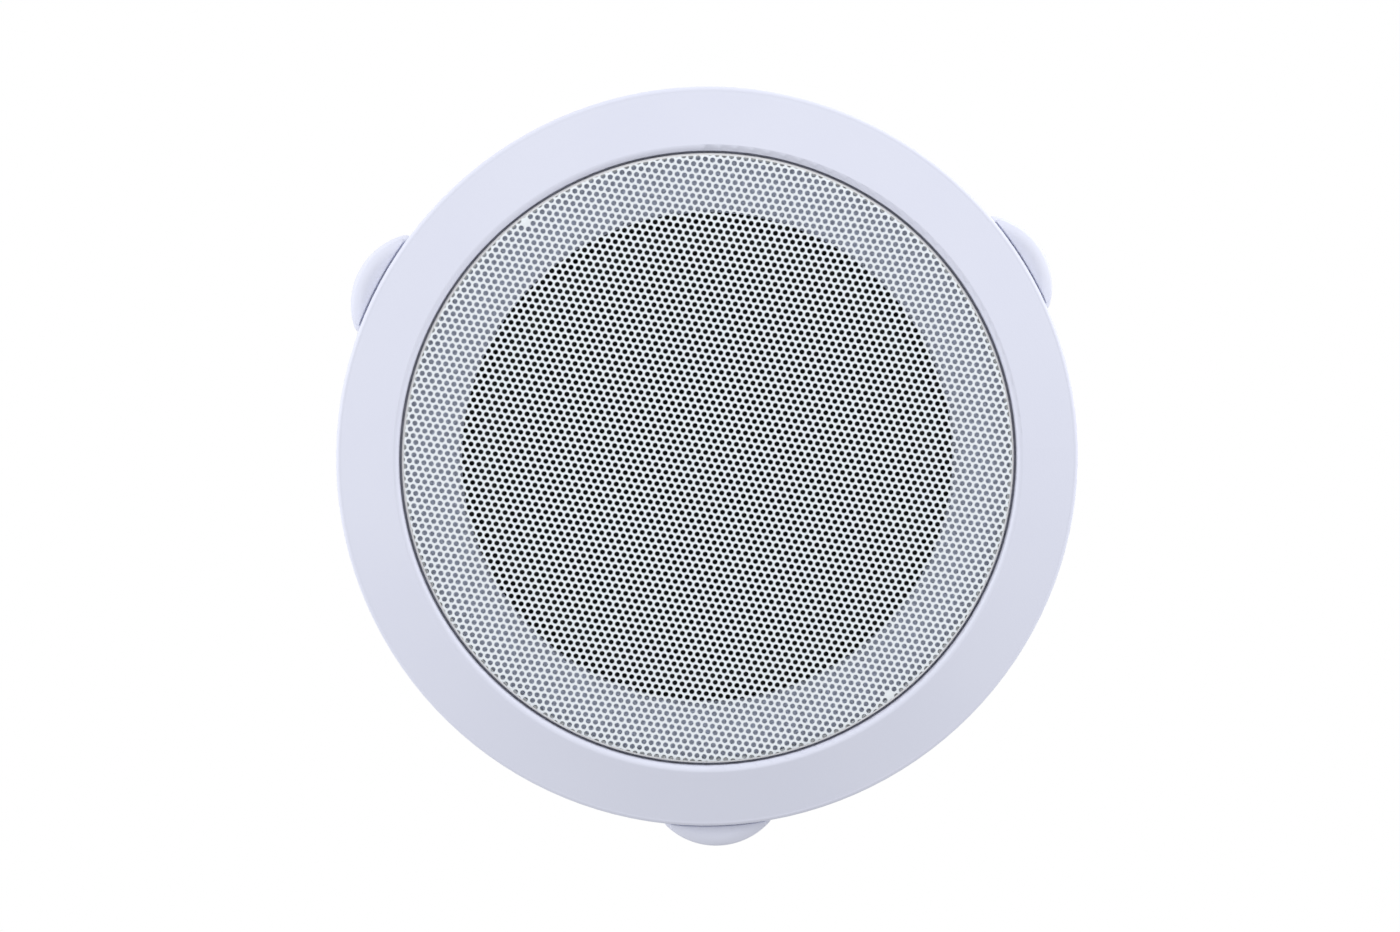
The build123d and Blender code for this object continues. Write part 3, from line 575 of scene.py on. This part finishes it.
def make_ferrite():
    """Sintered ferrite: charcoal grey ceramic, ground flat, with fine pores and specks."""
    material, tree, shader, place = surface("ferrite", IOR=1.9)
    pores = add(tree, "ShaderNodeTexNoise", {"Vector": place, "Scale": per(0.7), "Detail": 5.0})
    finish(
        tree, shader, tones=(pores, "27282A", "3C3D40"), rough=(pores, 0.5, 0.72), relief=(pores, 0.05)
    )
    return material


dress(make_zinc_plate("turned_zinc_plate", turned_marks=True), "top_plate", "yoke")
dress(make_ferrite(), "magnet")

# Driver screws: four pan-head screws with a cross recess that cut their own thread in the baffle's
# bosses. They are cold headed from steel wire and zinc plated.
HEAD_ROUND = 0.55
RECESS_ARM = 0.62
RECESS_WIDTH = 0.2
RECESS_DEPTH = 0.7
RECESS_TAPER = 0.5
RECESS_START = 1.1
CROWN_STEPS = 6
CRISP_SCREW = 35
SCREW_STEPS = 32
DRIVER_HEAD = 6.4 * MM
DRIVER_HEAD_HEIGHT = 2.2 * MM
DRIVER_SHANK = 3.0 * MM
DRIVER_SCREW_COUNT = 4


def make_screw(name, head, height, shank, length):
    """One screw on the axis with its head on level zero, and a cross recess cut into the head."""
    bend = HEAD_ROUND * height
    turns = [math.radians(90 * step / CROWN_STEPS) for step in range(CROWN_STEPS + 1)]
    crown = [
        (head / 2 - bend + bend * math.cos(turn), height - bend + bend * math.sin(turn)) for turn in turns
    ]
    tip = shank / 4
    section = [(0.0, -length), (tip, -length), (shank / 2, tip - length), (shank / 2, 0.0), (head / 2, 0.0)]
    shape = turned(section + crown + [(0.0, height)], SCREW_STEPS)
    face_outwards(shape)
    smooth_to(shape, CRISP_SCREW)
    body = bpy.data.meshes.new(name)
    shape.to_mesh(body)
    shape.free()
    arm, width = RECESS_ARM * head / 2, RECESS_WIDTH * head / 2
    quarter = [Vector((arm, -width)), Vector((arm, width)), Vector((width, width))]
    cross = [Matrix.Rotation(math.tau * step / 4, 2) @ corner for step in range(4) for corner in quarter]
    shape = bmesh.new()
    upper = [shape.verts.new((*corner, RECESS_START * height)) for corner in cross]
    floor = (1 - RECESS_DEPTH) * height
    lower = [shape.verts.new((*(RECESS_TAPER * corner), floor)) for corner in cross]
    shape.faces.new(upper)
    shape.faces.new(list(reversed(lower)))
    for place in range(len(cross)):
        beside = (place + 1) % len(cross)
        shape.faces.new((lower[place], lower[beside], upper[beside], upper[place]))
    cutter = bpy.data.meshes.new(f"{name}_recess")
    shape.to_mesh(cutter)
    shape.free()
    screw, tool = new_piece(name, body), new_piece(f"{name}_recess", cutter)
    cut = screw.modifiers.new("recess", "BOOLEAN")
    cut.operation = "DIFFERENCE"
    cut.solver = "EXACT"
    cut.object = tool
    settled(screw)
    bpy.data.objects.remove(tool)
    return screw


def make_screw_tree(material):
    """Tree that sets a copy of one screw on each point, each turned as it happened to be driven."""
    tree = bpy.data.node_groups.new("screws_on_points", "GeometryNodeTree")
    tree.interface.new_socket("Points", in_out="INPUT", socket_type="NodeSocketGeometry")
    tree.interface.new_socket("Screw", in_out="INPUT", socket_type="NodeSocketObject")
    tree.interface.new_socket("Seed", in_out="INPUT", socket_type="NodeSocketInt")
    tree.interface.new_socket("Mesh", in_out="OUTPUT", socket_type="NodeSocketGeometry")
    given = add(tree, "NodeGroupInput").outputs
    screw = add(tree, "GeometryNodeObjectInfo", {"Object": given["Screw"]}).outputs["Geometry"]
    turn = {2: 0.0, 3: math.tau / 4, "Seed": given["Seed"]}
    turn = add(tree, "FunctionNodeRandomValue", turn, data_type="FLOAT")
    driven = add(tree, "ShaderNodeCombineXYZ", {"Z": turn.outputs[1]})
    screws = {"Points": given["Points"], "Instance": screw, "Rotation": driven}
    screws = add(tree, "GeometryNodeInstanceOnPoints", screws)
    screws = add(tree, "GeometryNodeRealizeInstances", {0: screws})
    screws = add(tree, "GeometryNodeSetMaterial", {"Geometry": screws, "Material": material})
    add(tree, "NodeGroupOutput", {0: screws})
    return tree


def set_screws(node, name, seats, screw, seed):
    """Screws on their seats in place of a CAD node's."""
    points = bpy.data.meshes.new(name)
    points.from_pydata(seats, [], [])
    piece = grown(name, points, screw_tree, {"Screw": screw, "Seed": seed})
    bpy.data.objects.remove(screw)
    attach(piece, "frame")
    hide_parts(node)


zinc_plate = make_zinc_plate("zinc_plate", turned_marks=False)
screw_tree = make_screw_tree(zinc_plate)
low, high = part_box("driver_screws")
seat = high.z - DRIVER_HEAD_HEIGHT
reach = high.x - DRIVER_HEAD / 2
driver_seats = [
    Matrix.Rotation(math.tau * step / DRIVER_SCREW_COUNT, 3, "Z") @ Vector((reach, reach, seat))
    for step in range(DRIVER_SCREW_COUNT)
]
driver_screw = make_screw("driver_screw", DRIVER_HEAD, DRIVER_HEAD_HEIGHT, DRIVER_SHANK, seat - low.z)
set_screws("driver_screws", "cross_driver_screws", driver_seats, driver_screw, seed=3)

# Tag strip: a punched strip of phenolic paper board on the back of the spider's ledge, with two tinned
# brass tags. Two tinsel leads run from the tags through the window to the cone and flex with it.
TINSEL_DIAMETER = 1.2 * MM
TINSEL_APART = 10.4 * MM
TINSEL_ROUTE = [(53.0, 31.4), (53.0, 25.0), (49.6, 17.6), (43.8, 13.8), (37.2, 13.25)]
TINSEL_ROUNDNESS = 4
TINSEL_STRAND = 0.5
STRAND_LEAN = math.radians(40)


def make_phenolic_board():
    """Phenolic paper board: chestnut brown, with paper fibres under a low resin gloss."""
    material, tree, shader, place = surface("phenolic_board", IOR=1.6)
    stretch = add(tree, "ShaderNodeMapping", {"Vector": place, "Scale": (1.0, 0.2, 1.0)})
    fibres = add(tree, "ShaderNodeTexNoise", {"Vector": stretch, "Scale": per(0.6), "Detail": 5.0})
    finish(
        tree, shader, tones=(fibres, "4A2A17", "74482A"), rough=(fibres, 0.35, 0.55), relief=(fibres, 0.03)
    )
    return material


def make_tinned_brass():
    """Tinned brass: pale, slightly warm metal with a soft, uneven dip."""
    material, tree, shader, place = surface("tinned_brass", Metallic=1.0)
    dip = add(tree, "ShaderNodeTexNoise", {"Vector": place, "Scale": per(1.5), "Detail": 3.0})
    finish(tree, shader, tones=(dip, "B9AE92", "D6D2C6"), rough=(dip, 0.22, 0.4), relief=(dip, 0.02))
    return material


def make_tinsel():
    """Tinsel braid: fine flat copper strands over cotton, woven both ways around."""
    material, tree, shader, place = surface("tinsel_braid", Metallic=0.8)
    strands = []
    for lean in (STRAND_LEAN, -STRAND_LEAN):
        slant = add(tree, "ShaderNodeMapping", {"Vector": place, "Rotation": (lean, lean, 0.0)})
        strands.append(add(tree, "ShaderNodeTexWave", {"Vector": slant, "Scale": wave_per(TINSEL_STRAND)}))
    braid = add(tree, "ShaderNodeMath", {0: strands[0], 1: strands[1]}, operation="MAXIMUM")
    finish(
        tree, shader, tones=(braid, "4B3722", "B98A55"), rough=(braid, 0.3, 0.55), relief=(braid, 0.12)
    )
    return material


def make_tinsel_leads(material):
    """The two slack leads, each a smooth tube along the route's points of radius and level in mm."""
    lines = bpy.data.curves.new("tinsel_lines", "CURVE")
    lines.dimensions = "3D"
    lines.bevel_depth = TINSEL_DIAMETER / 2
    lines.bevel_resolution = TINSEL_ROUNDNESS
    lines.use_fill_caps = True
    for side in (-1, 1):
        line = lines.splines.new("NURBS")
        line.points.add(len(TINSEL_ROUTE) - 1)
        for point, (radius, level) in zip(line.points, TINSEL_ROUTE):
            point.co = (side * TINSEL_APART / 2, -radius * MM, level * MM, 1.0)
        line.order_u = 3
        line.use_endpoint_u = True
    drawn = new_piece("tinsel_lines", lines)
    tubes = bpy.data.meshes.new_from_object(drawn.evaluated_get(bpy.context.evaluated_depsgraph_get()))
    bpy.data.objects.remove(drawn)
    shape = bmesh.new()
    shape.from_mesh(tubes)
    face_outwards(shape)
    smooth_to(shape, CRISP_FOLD)
    shape.to_mesh(tubes)
    shape.free()
    tubes.materials.append(material)
    return new_piece("braided_tinsel_leads", tubes)


tinned_brass = make_tinned_brass()
dress(make_phenolic_board(), "tag_strip")
dress(tinned_brass, "solder_tags")
tinsel = make_tinsel_leads(make_tinsel())
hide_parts("tinsel_leads")
low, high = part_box("tinsel_leads")
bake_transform(tinsel)

# Spring flaps: three moulded white ABS flaps on steel pins, each pushed down by a torsion spring of
# drawn steel wire. They clamp the ceiling panel against the rim and fold up to pass the cut-out. Each
# ends in a level foot, and its pad, just outside the rim, is rolled back along its round edge.
FLAP_TIP_RISE = 6.9 * MM
FOOT_BEND_START = 98.6 * MM
FOOT_BEND_END = 100.6 * MM
FOOT_BEND_STEPS = 6
PAD_GAP = 0.35 * MM
PAD_INSET = 0.5 * MM
PAD_HALF_WIDTH = 13.2 * MM
PAD_RISE = 1.4 * MM
PAD_SINK = 1.0 * MM
PAD_ROLL_WIDTH = 3.0 * MM
PAD_ROLL_RADIUS = 4.0 * MM
PAD_EDGE_ROUND = 0.3 * MM
PAD_EDGE_STEPS = 3
PAD_CRISP = 30
PAD_ROWS = 12
PAD_COLUMNS = 60


def level_foot(shape):
    """Bends the end of a sloping flap that points along +Y level, and gives the level of its underside."""
    flat = max(shape.faces, key=lambda face: face.calc_area()).normal
    steepness = abs(flat.y / flat.z)
    bend = FOOT_BEND_END - FOOT_BEND_START
    for step in range(FOOT_BEND_STEPS + 1):
        cut = Vector((0, FOOT_BEND_START + bend * step / FOOT_BEND_STEPS, 0))
        every = [*shape.faces, *shape.edges, *shape.verts]
        bmesh.ops.bisect_plane(shape, geom=every, plane_co=cut, plane_no=(0, 1, 0), dist=SAME_POINT)
    for vertex in shape.verts:
        past = max(vertex.co.y - FOOT_BEND_START, 0)
        share = min(past / bend, 1)
        vertex.co.z += steepness * (bend * share**2 / 2 + max(past - bend, 0))
    return min(vertex.co.z for vertex in shape.verts if vertex.co.y > FOOT_BEND_END)


def add_pad(shape, reach, half_width, level):
    """Adds the pad under a foot: a crescent between the rim's edge and the flap's round end."""
    flap_radius = (half_width**2 + FLAP_TIP_RISE**2) / (2 * FLAP_TIP_RISE)
    middle = reach - flap_radius
    outer_radius = flap_radius - PAD_INSET
    inner_radius = cad_box[1].x + PAD_GAP
    front, back = [], []
    for column in range(PAD_COLUMNS + 1):
        x = PAD_HALF_WIDTH * (2 * column / PAD_COLUMNS - 1)
        inner = math.sqrt(inner_radius**2 - x**2)
        outer = middle + math.sqrt(outer_radius**2 - x**2)
        outward = [inner + (outer - inner) * row / PAD_ROWS for row in range(PAD_ROWS + 1)]
        rolls = [max(math.hypot(x, y - middle) - outer_radius + PAD_ROLL_WIDTH, 0) for y in outward]
        levels = [level - PAD_RISE + roll**2 / (2 * PAD_ROLL_RADIUS) for roll in rolls]
        front.append([shape.verts.new((x, y, z)) for y, z in zip(outward, levels)])
        back.append([shape.verts.new((x, y, level + PAD_SINK)) for y in outward])
    made = []
    for side in (front, back):
        for left, right in zip(side, side[1:]):
            for row in range(PAD_ROWS):
                made.append(shape.faces.new((left[row], right[row], right[row + 1], left[row + 1])))
    borders = []
    for side in (front, back):
        inner_side = [column[0] for column in side]
        outer_side = [column[-1] for column in reversed(side)]
        borders.append(inner_side + side[-1][1:-1] + outer_side + side[0][-2:0:-1])
    front_border, back_border = borders
    for place in range(len(front_border)):
        wall = (front_border[place], front_border[place - 1], back_border[place - 1], back_border[place])
        made.append(shape.faces.new(wall))
    bmesh.ops.recalc_face_normals(shape, faces=made)
    on_border = set(front_border)
    rim = [edge for edge in shape.edges if on_border.issuperset(edge.verts)]
    rim = [edge for edge in rim if edge.calc_face_angle(0) > math.radians(PAD_CRISP)]
    rounding = {"offset": PAD_EDGE_ROUND, "segments": PAD_EDGE_STEPS, "profile": 0.5}
    bmesh.ops.bevel(shape, geom=rim, affect="EDGES", **rounding)


def make_spring_wire():
    """Drawn spring steel: dark bright wire with fine lines from the die."""
    material, tree, shader, place = surface("spring_steel_wire", Metallic=1.0)
    lines = add(tree, "ShaderNodeTexNoise", {"Vector": place, "Scale": per(0.5), "Detail": 4.0})
    finish(tree, shader, tones=(lines, "77797D", "A2A4A8"), rough=(lines, 0.2, 0.36))
    return material


spring_wire = make_spring_wire()
_, flap_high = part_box("flap_1")
footed = joined("flap_1")
add_pad(footed, flap_high.y, flap_high.x, level_foot(footed))
footed = shaded_mesh(footed, "footed_flap", white_abs)
for number in (1, 2, 3):
    low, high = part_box(f"flap_pin_{number}")
    hinge = (low + high) / 2
    flap = new_piece(f"footed_flap_{number}", footed.copy())
    flap.data.transform(Matrix.Rotation(math.atan2(-hinge.x, hinge.y), 4, "Z"))
    flap.modifiers.new("flat_faces_first", "WEIGHTED_NORMAL").keep_sharp = True
    settled(flap)
    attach(flap, f"flap_{number}")
    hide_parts(f"flap_{number}")
    dress(zinc_plate, f"flap_pin_{number}")
    spring = soft_copy(f"flap_spring_{number}", f"torsion_spring_{number}", spring_wire)
    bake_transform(spring)

# Push terminal: a black ABS block screwed to its shelf, with a red and a black lever that open a
# sprung brass contact for each bare wire.
TERMINAL_HEAD = 4.6 * MM
TERMINAL_HEAD_HEIGHT = 1.8 * MM
TERMINAL_SHANK = 2.5 * MM


def make_gloss_abs(name, first, second):
    """Gloss ABS from a polished tool: even colour with faint flow marks and a clear sheen."""
    material, tree, shader, place = surface(name, IOR=1.53)
    flow = add(tree, "ShaderNodeTexNoise", {"Vector": place, "Scale": per(9), "Detail": 3.0})
    ripple = add(tree, "ShaderNodeTexNoise", {"Vector": place, "Scale": per(1.2), "Detail": 1.0})
    finish(tree, shader, tones=(flow, first, second), rough=(flow, 0.22, 0.34), relief=(ripple, 0.01))
    return material


black_abs = make_gloss_abs("black_gloss_abs", "121213", "1B1B1D")
dress(black_abs, "terminal_body", "terminal_lever_black")
dress(make_gloss_abs("red_gloss_abs", "A81414", "BE1E1C"), "terminal_lever_red")
dress(tinned_brass, "terminal_contacts")
low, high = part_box("terminal_screws")
middle = (low + high) / 2
seat = high.z - TERMINAL_HEAD_HEIGHT
terminal_seats = [(x, middle.y, seat) for x in (low.x + TERMINAL_HEAD / 2, high.x - TERMINAL_HEAD / 2)]
terminal_screw = make_screw(
    "terminal_screw", TERMINAL_HEAD, TERMINAL_HEAD_HEIGHT, TERMINAL_SHANK, seat - low.z
)
set_screws("terminal_screws", "cross_terminal_screws", terminal_seats, terminal_screw, seed=8)

# Leads: two short PVC-insulated wires, red and black, soldered to the terminal's tails and to the
# driver's tags.
BEAD_RADIUS = 1.5 * MM
BEAD_BITE = 1.6 * MM
BEAD_STRETCH = (1.0, 1.25, 0.75)
BEAD_LUMP = 1.6
BEAD_SWELL = 0.2
BEAD_SUBDIVISIONS = 4


def make_pvc(name, first, second):
    """Extruded PVC insulation: soft satin skin with faint draw lines along the wire."""
    material, tree, shader, place = surface(name, IOR=1.53)
    lines = add(tree, "ShaderNodeTexNoise", {"Vector": place, "Scale": per(1.0), "Detail": 3.0})
    finish(tree, shader, tones=(lines, first, second), rough=(lines, 0.38, 0.52), relief=(lines, 0.02))
    return material


def make_solder():
    """Tin solder: bright and smooth, a little frosted where it cooled last."""
    material, tree, shader, place = surface("tin_solder", Metallic=1.0)
    frost = add(tree, "ShaderNodeTexNoise", {"Vector": place, "Scale": per(0.7), "Detail": 3.0})
    finish(tree, shader, tones=(frost, "B4B6B8", "DADCDD"), rough=(frost, 0.12, 0.34))
    return material


def make_bead_tree(material):
    """Tree that sets an uneven bead of solder on each point."""
    tree = bpy.data.node_groups.new("solder_beads", "GeometryNodeTree")
    tree.interface.new_socket("Points", in_out="INPUT", socket_type="NodeSocketGeometry")
    tree.interface.new_socket("Radius", in_out="INPUT", socket_type="NodeSocketFloat")
    tree.interface.new_socket("Seed", in_out="INPUT", socket_type="NodeSocketInt")
    tree.interface.new_socket("Mesh", in_out="OUTPUT", socket_type="NodeSocketGeometry")
    given = add(tree, "NodeGroupInput").outputs
    ball = {"Radius": given["Radius"], "Subdivisions": BEAD_SUBDIVISIONS}
    ball = add(tree, "GeometryNodeMeshIcoSphere", ball)
    turn = {2: 0.0, 3: math.tau, "Seed": given["Seed"]}
    turn = add(tree, "FunctionNodeRandomValue", turn, data_type="FLOAT")
    turn = add(tree, "ShaderNodeCombineXYZ", {"Z": turn.outputs[1]})
    beads = {"Points": given["Points"], "Instance": ball, "Rotation": turn, "Scale": BEAD_STRETCH}
    beads = add(tree, "GeometryNodeInstanceOnPoints", beads)
    beads = add(tree, "GeometryNodeRealizeInstances", {0: beads})
    lumps = add(tree, "ShaderNodeTexNoise", {"Scale": per(BEAD_LUMP), "Detail": 1.0})
    swell = add(tree, "ShaderNodeMapRange", {"Value": lumps, "To Min": -BEAD_SWELL, "To Max": BEAD_SWELL})
    swell = add(tree, "ShaderNodeMath", {0: swell, 1: given["Radius"]}, operation="MULTIPLY")
    push = {0: add(tree, "GeometryNodeInputNormal"), "Scale": swell}
    push = add(tree, "ShaderNodeVectorMath", push, operation="SCALE")
    beads = add(tree, "GeometryNodeSetPosition", {"Geometry": beads, "Offset": push})
    beads = add(tree, "GeometryNodeSetShadeSmooth", {0: beads, "Shade Smooth": True})
    beads = add(tree, "GeometryNodeRealizeInstances", {0: beads})
    beads = add(tree, "GeometryNodeSetMaterial", {"Geometry": beads, "Material": material})
    add(tree, "NodeGroupOutput", {0: beads})
    return tree


dress(make_pvc("black_pvc", "151516", "202022"), "lead_black")
dress(make_pvc("red_pvc", "9C1513", "B5221D"), "lead_red")
_, tag_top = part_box("solder_tags")
_, tail_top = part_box("terminal_contacts")
soldered = []
for color in ("black", "red"):
    low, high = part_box(f"lead_{color}")
    middle = (low + high) / 2
    soldered.append((middle.x, high.y - BEAD_BITE, tag_top.z))
    soldered.append((middle.x, low.y + BEAD_BITE, tail_top.z))
bead_points = bpy.data.meshes.new("solder_joints")
bead_points.from_pydata(soldered, [], [])
bead_tree = make_bead_tree(make_solder())
solder = grown("solder_joints", bead_points, bead_tree, {"Radius": BEAD_RADIUS, "Seed": 5})
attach(solder, "frame")

# Stage: the speaker lies on its face on a pale floor that is clear from below, where the camera looks up
# at the grille. Three soft lamps light its face from the terminal's side and from both sides, one lights
# its back, and all around is white.
PICTURE_WIDTH = 1400
FRAME_WIDTH = 384.83 * MM
PIXEL = FRAME_WIDTH / PICTURE_WIDTH
# Pixels from the picture's middle to the rim's, to the right and up
RIM_MIDDLE = (7.5, 8.6)
CAMERA_DISTANCE = 2.2
CAMERA_REACH = 10.0
CAMERA_UP = math.radians(5.6)
CAMERA_LEFT = math.radians(2.2)
CAMERA_ROLL = math.radians(1.7)
FILL = 0.735
FILL_FALL = 0.21
FLOOR_HALF = 8.0


def make_floor():
    """A wide matte sheet under the speaker that is clear from below and blocks no light."""
    material, tree, shader, _ = surface("pale_floor", Base_Color=linear("F4F4F2"), Roughness=0.9)
    back = add(tree, "ShaderNodeNewGeometry").outputs["Backfacing"]
    clear = add(tree, "ShaderNodeBsdfTransparent")
    mix = add(tree, "ShaderNodeMixShader", {0: back, 1: shader, 2: clear})
    tree.links.new(mix.outputs[0], tree.nodes["Material Output"].inputs["Surface"])
    mesh = bpy.data.meshes.new("floor")
    around = ((-1, -1), (1, -1), (1, 1), (-1, 1))
    corners = [(x * FLOOR_HALF, y * FLOOR_HALF, cad_box[0].z) for x, y in around]
    mesh.from_pydata(corners, [], [(0, 1, 2, 3)])
    mesh.materials.append(material)
    floor = new_piece("floor", mesh)
    floor.visible_shadow = False
    floor.visible_diffuse = False
    floor.visible_glossy = False
    floor.visible_transmission = False


def lamp(name, place, size, power):
    """A square soft lamp that faces the speaker."""
    light = bpy.data.lights.new(name, "AREA")
    light.size = size
    light.energy = power
    holder = bpy.data.objects.new(name, light)
    holder.location = place
    holder.rotation_euler = (-Vector(place)).to_track_quat("-Z", "Y").to_euler()
    bpy.context.scene.collection.objects.link(holder)


def make_world():
    """Fill light, stronger from the terminal's side, and plain white for the camera and reflections."""
    world = bpy.data.worlds.new("studio")
    world.use_nodes = True
    tree = world.node_tree
    tree.nodes.clear()
    ray = add(tree, "ShaderNodeLightPath").outputs
    seen = {0: ray["Is Camera Ray"], 1: ray["Is Glossy Ray"]}
    seen = add(tree, "ShaderNodeMath", seen, operation="MAXIMUM")
    seen = add(tree, "ShaderNodeMath", {0: seen, 1: ray["Is Transmission Ray"]}, operation="MAXIMUM")
    way = add(tree, "ShaderNodeTexCoord").outputs["Generated"]
    across = add(tree, "ShaderNodeSeparateXYZ", {0: way}).outputs["Y"]
    fall = {"Value": across, "From Min": -1.0, "To Min": FILL + FILL_FALL, "To Max": FILL - FILL_FALL}
    fall = add(tree, "ShaderNodeMapRange", fall)
    fill = add(tree, "ShaderNodeBackground", {"Color": (1, 1, 1, 1), "Strength": fall})
    white = add(tree, "ShaderNodeBackground", {"Color": (1, 1, 1, 1), "Strength": 1.0})
    mix = add(tree, "ShaderNodeMixShader", {0: seen, 1: fill, 2: white})
    add(tree, "ShaderNodeOutputWorld", {0: mix})
    bpy.context.scene.world = world


def make_camera():
    """A long lens that looks up at the grille, a little from the terminal's side."""
    back = Vector((-math.sin(CAMERA_LEFT), -math.sin(CAMERA_UP), -1)).normalized()
    up = Vector((math.sin(CAMERA_ROLL), -math.cos(CAMERA_ROLL), 0))
    right = up.cross(back).normalized()
    up = back.cross(right)
    middle = -PIXEL * (RIM_MIDDLE[0] * right + RIM_MIDDLE[1] * up)
    data = bpy.data.cameras.new("camera")
    data.lens = data.sensor_width * CAMERA_DISTANCE / FRAME_WIDTH
    data.clip_end = CAMERA_REACH
    camera = bpy.data.objects.new("camera", data)
    turn = Matrix((right, up, back)).transposed().to_4x4()
    camera.matrix_world = Matrix.Translation(middle + back * CAMERA_DISTANCE) @ turn
    bpy.context.scene.collection.objects.link(camera)
    bpy.context.scene.camera = camera


make_floor()
make_world()
lamp("top_lamp", (0.05, -0.5, -0.48), size=0.7, power=0.55)
lamp("right_lamp", (1.388, -0.505, -0.26), size=0.3, power=7.5)
lamp("left_lamp", (-1.463, -0.206, -0.26), size=0.3, power=7.5)
lamp("rear_lamp", (0.9, -0.8, 1.2), size=2.0, power=7.0)
make_camera()
bpy.context.scene.view_settings.view_transform = "Standard"
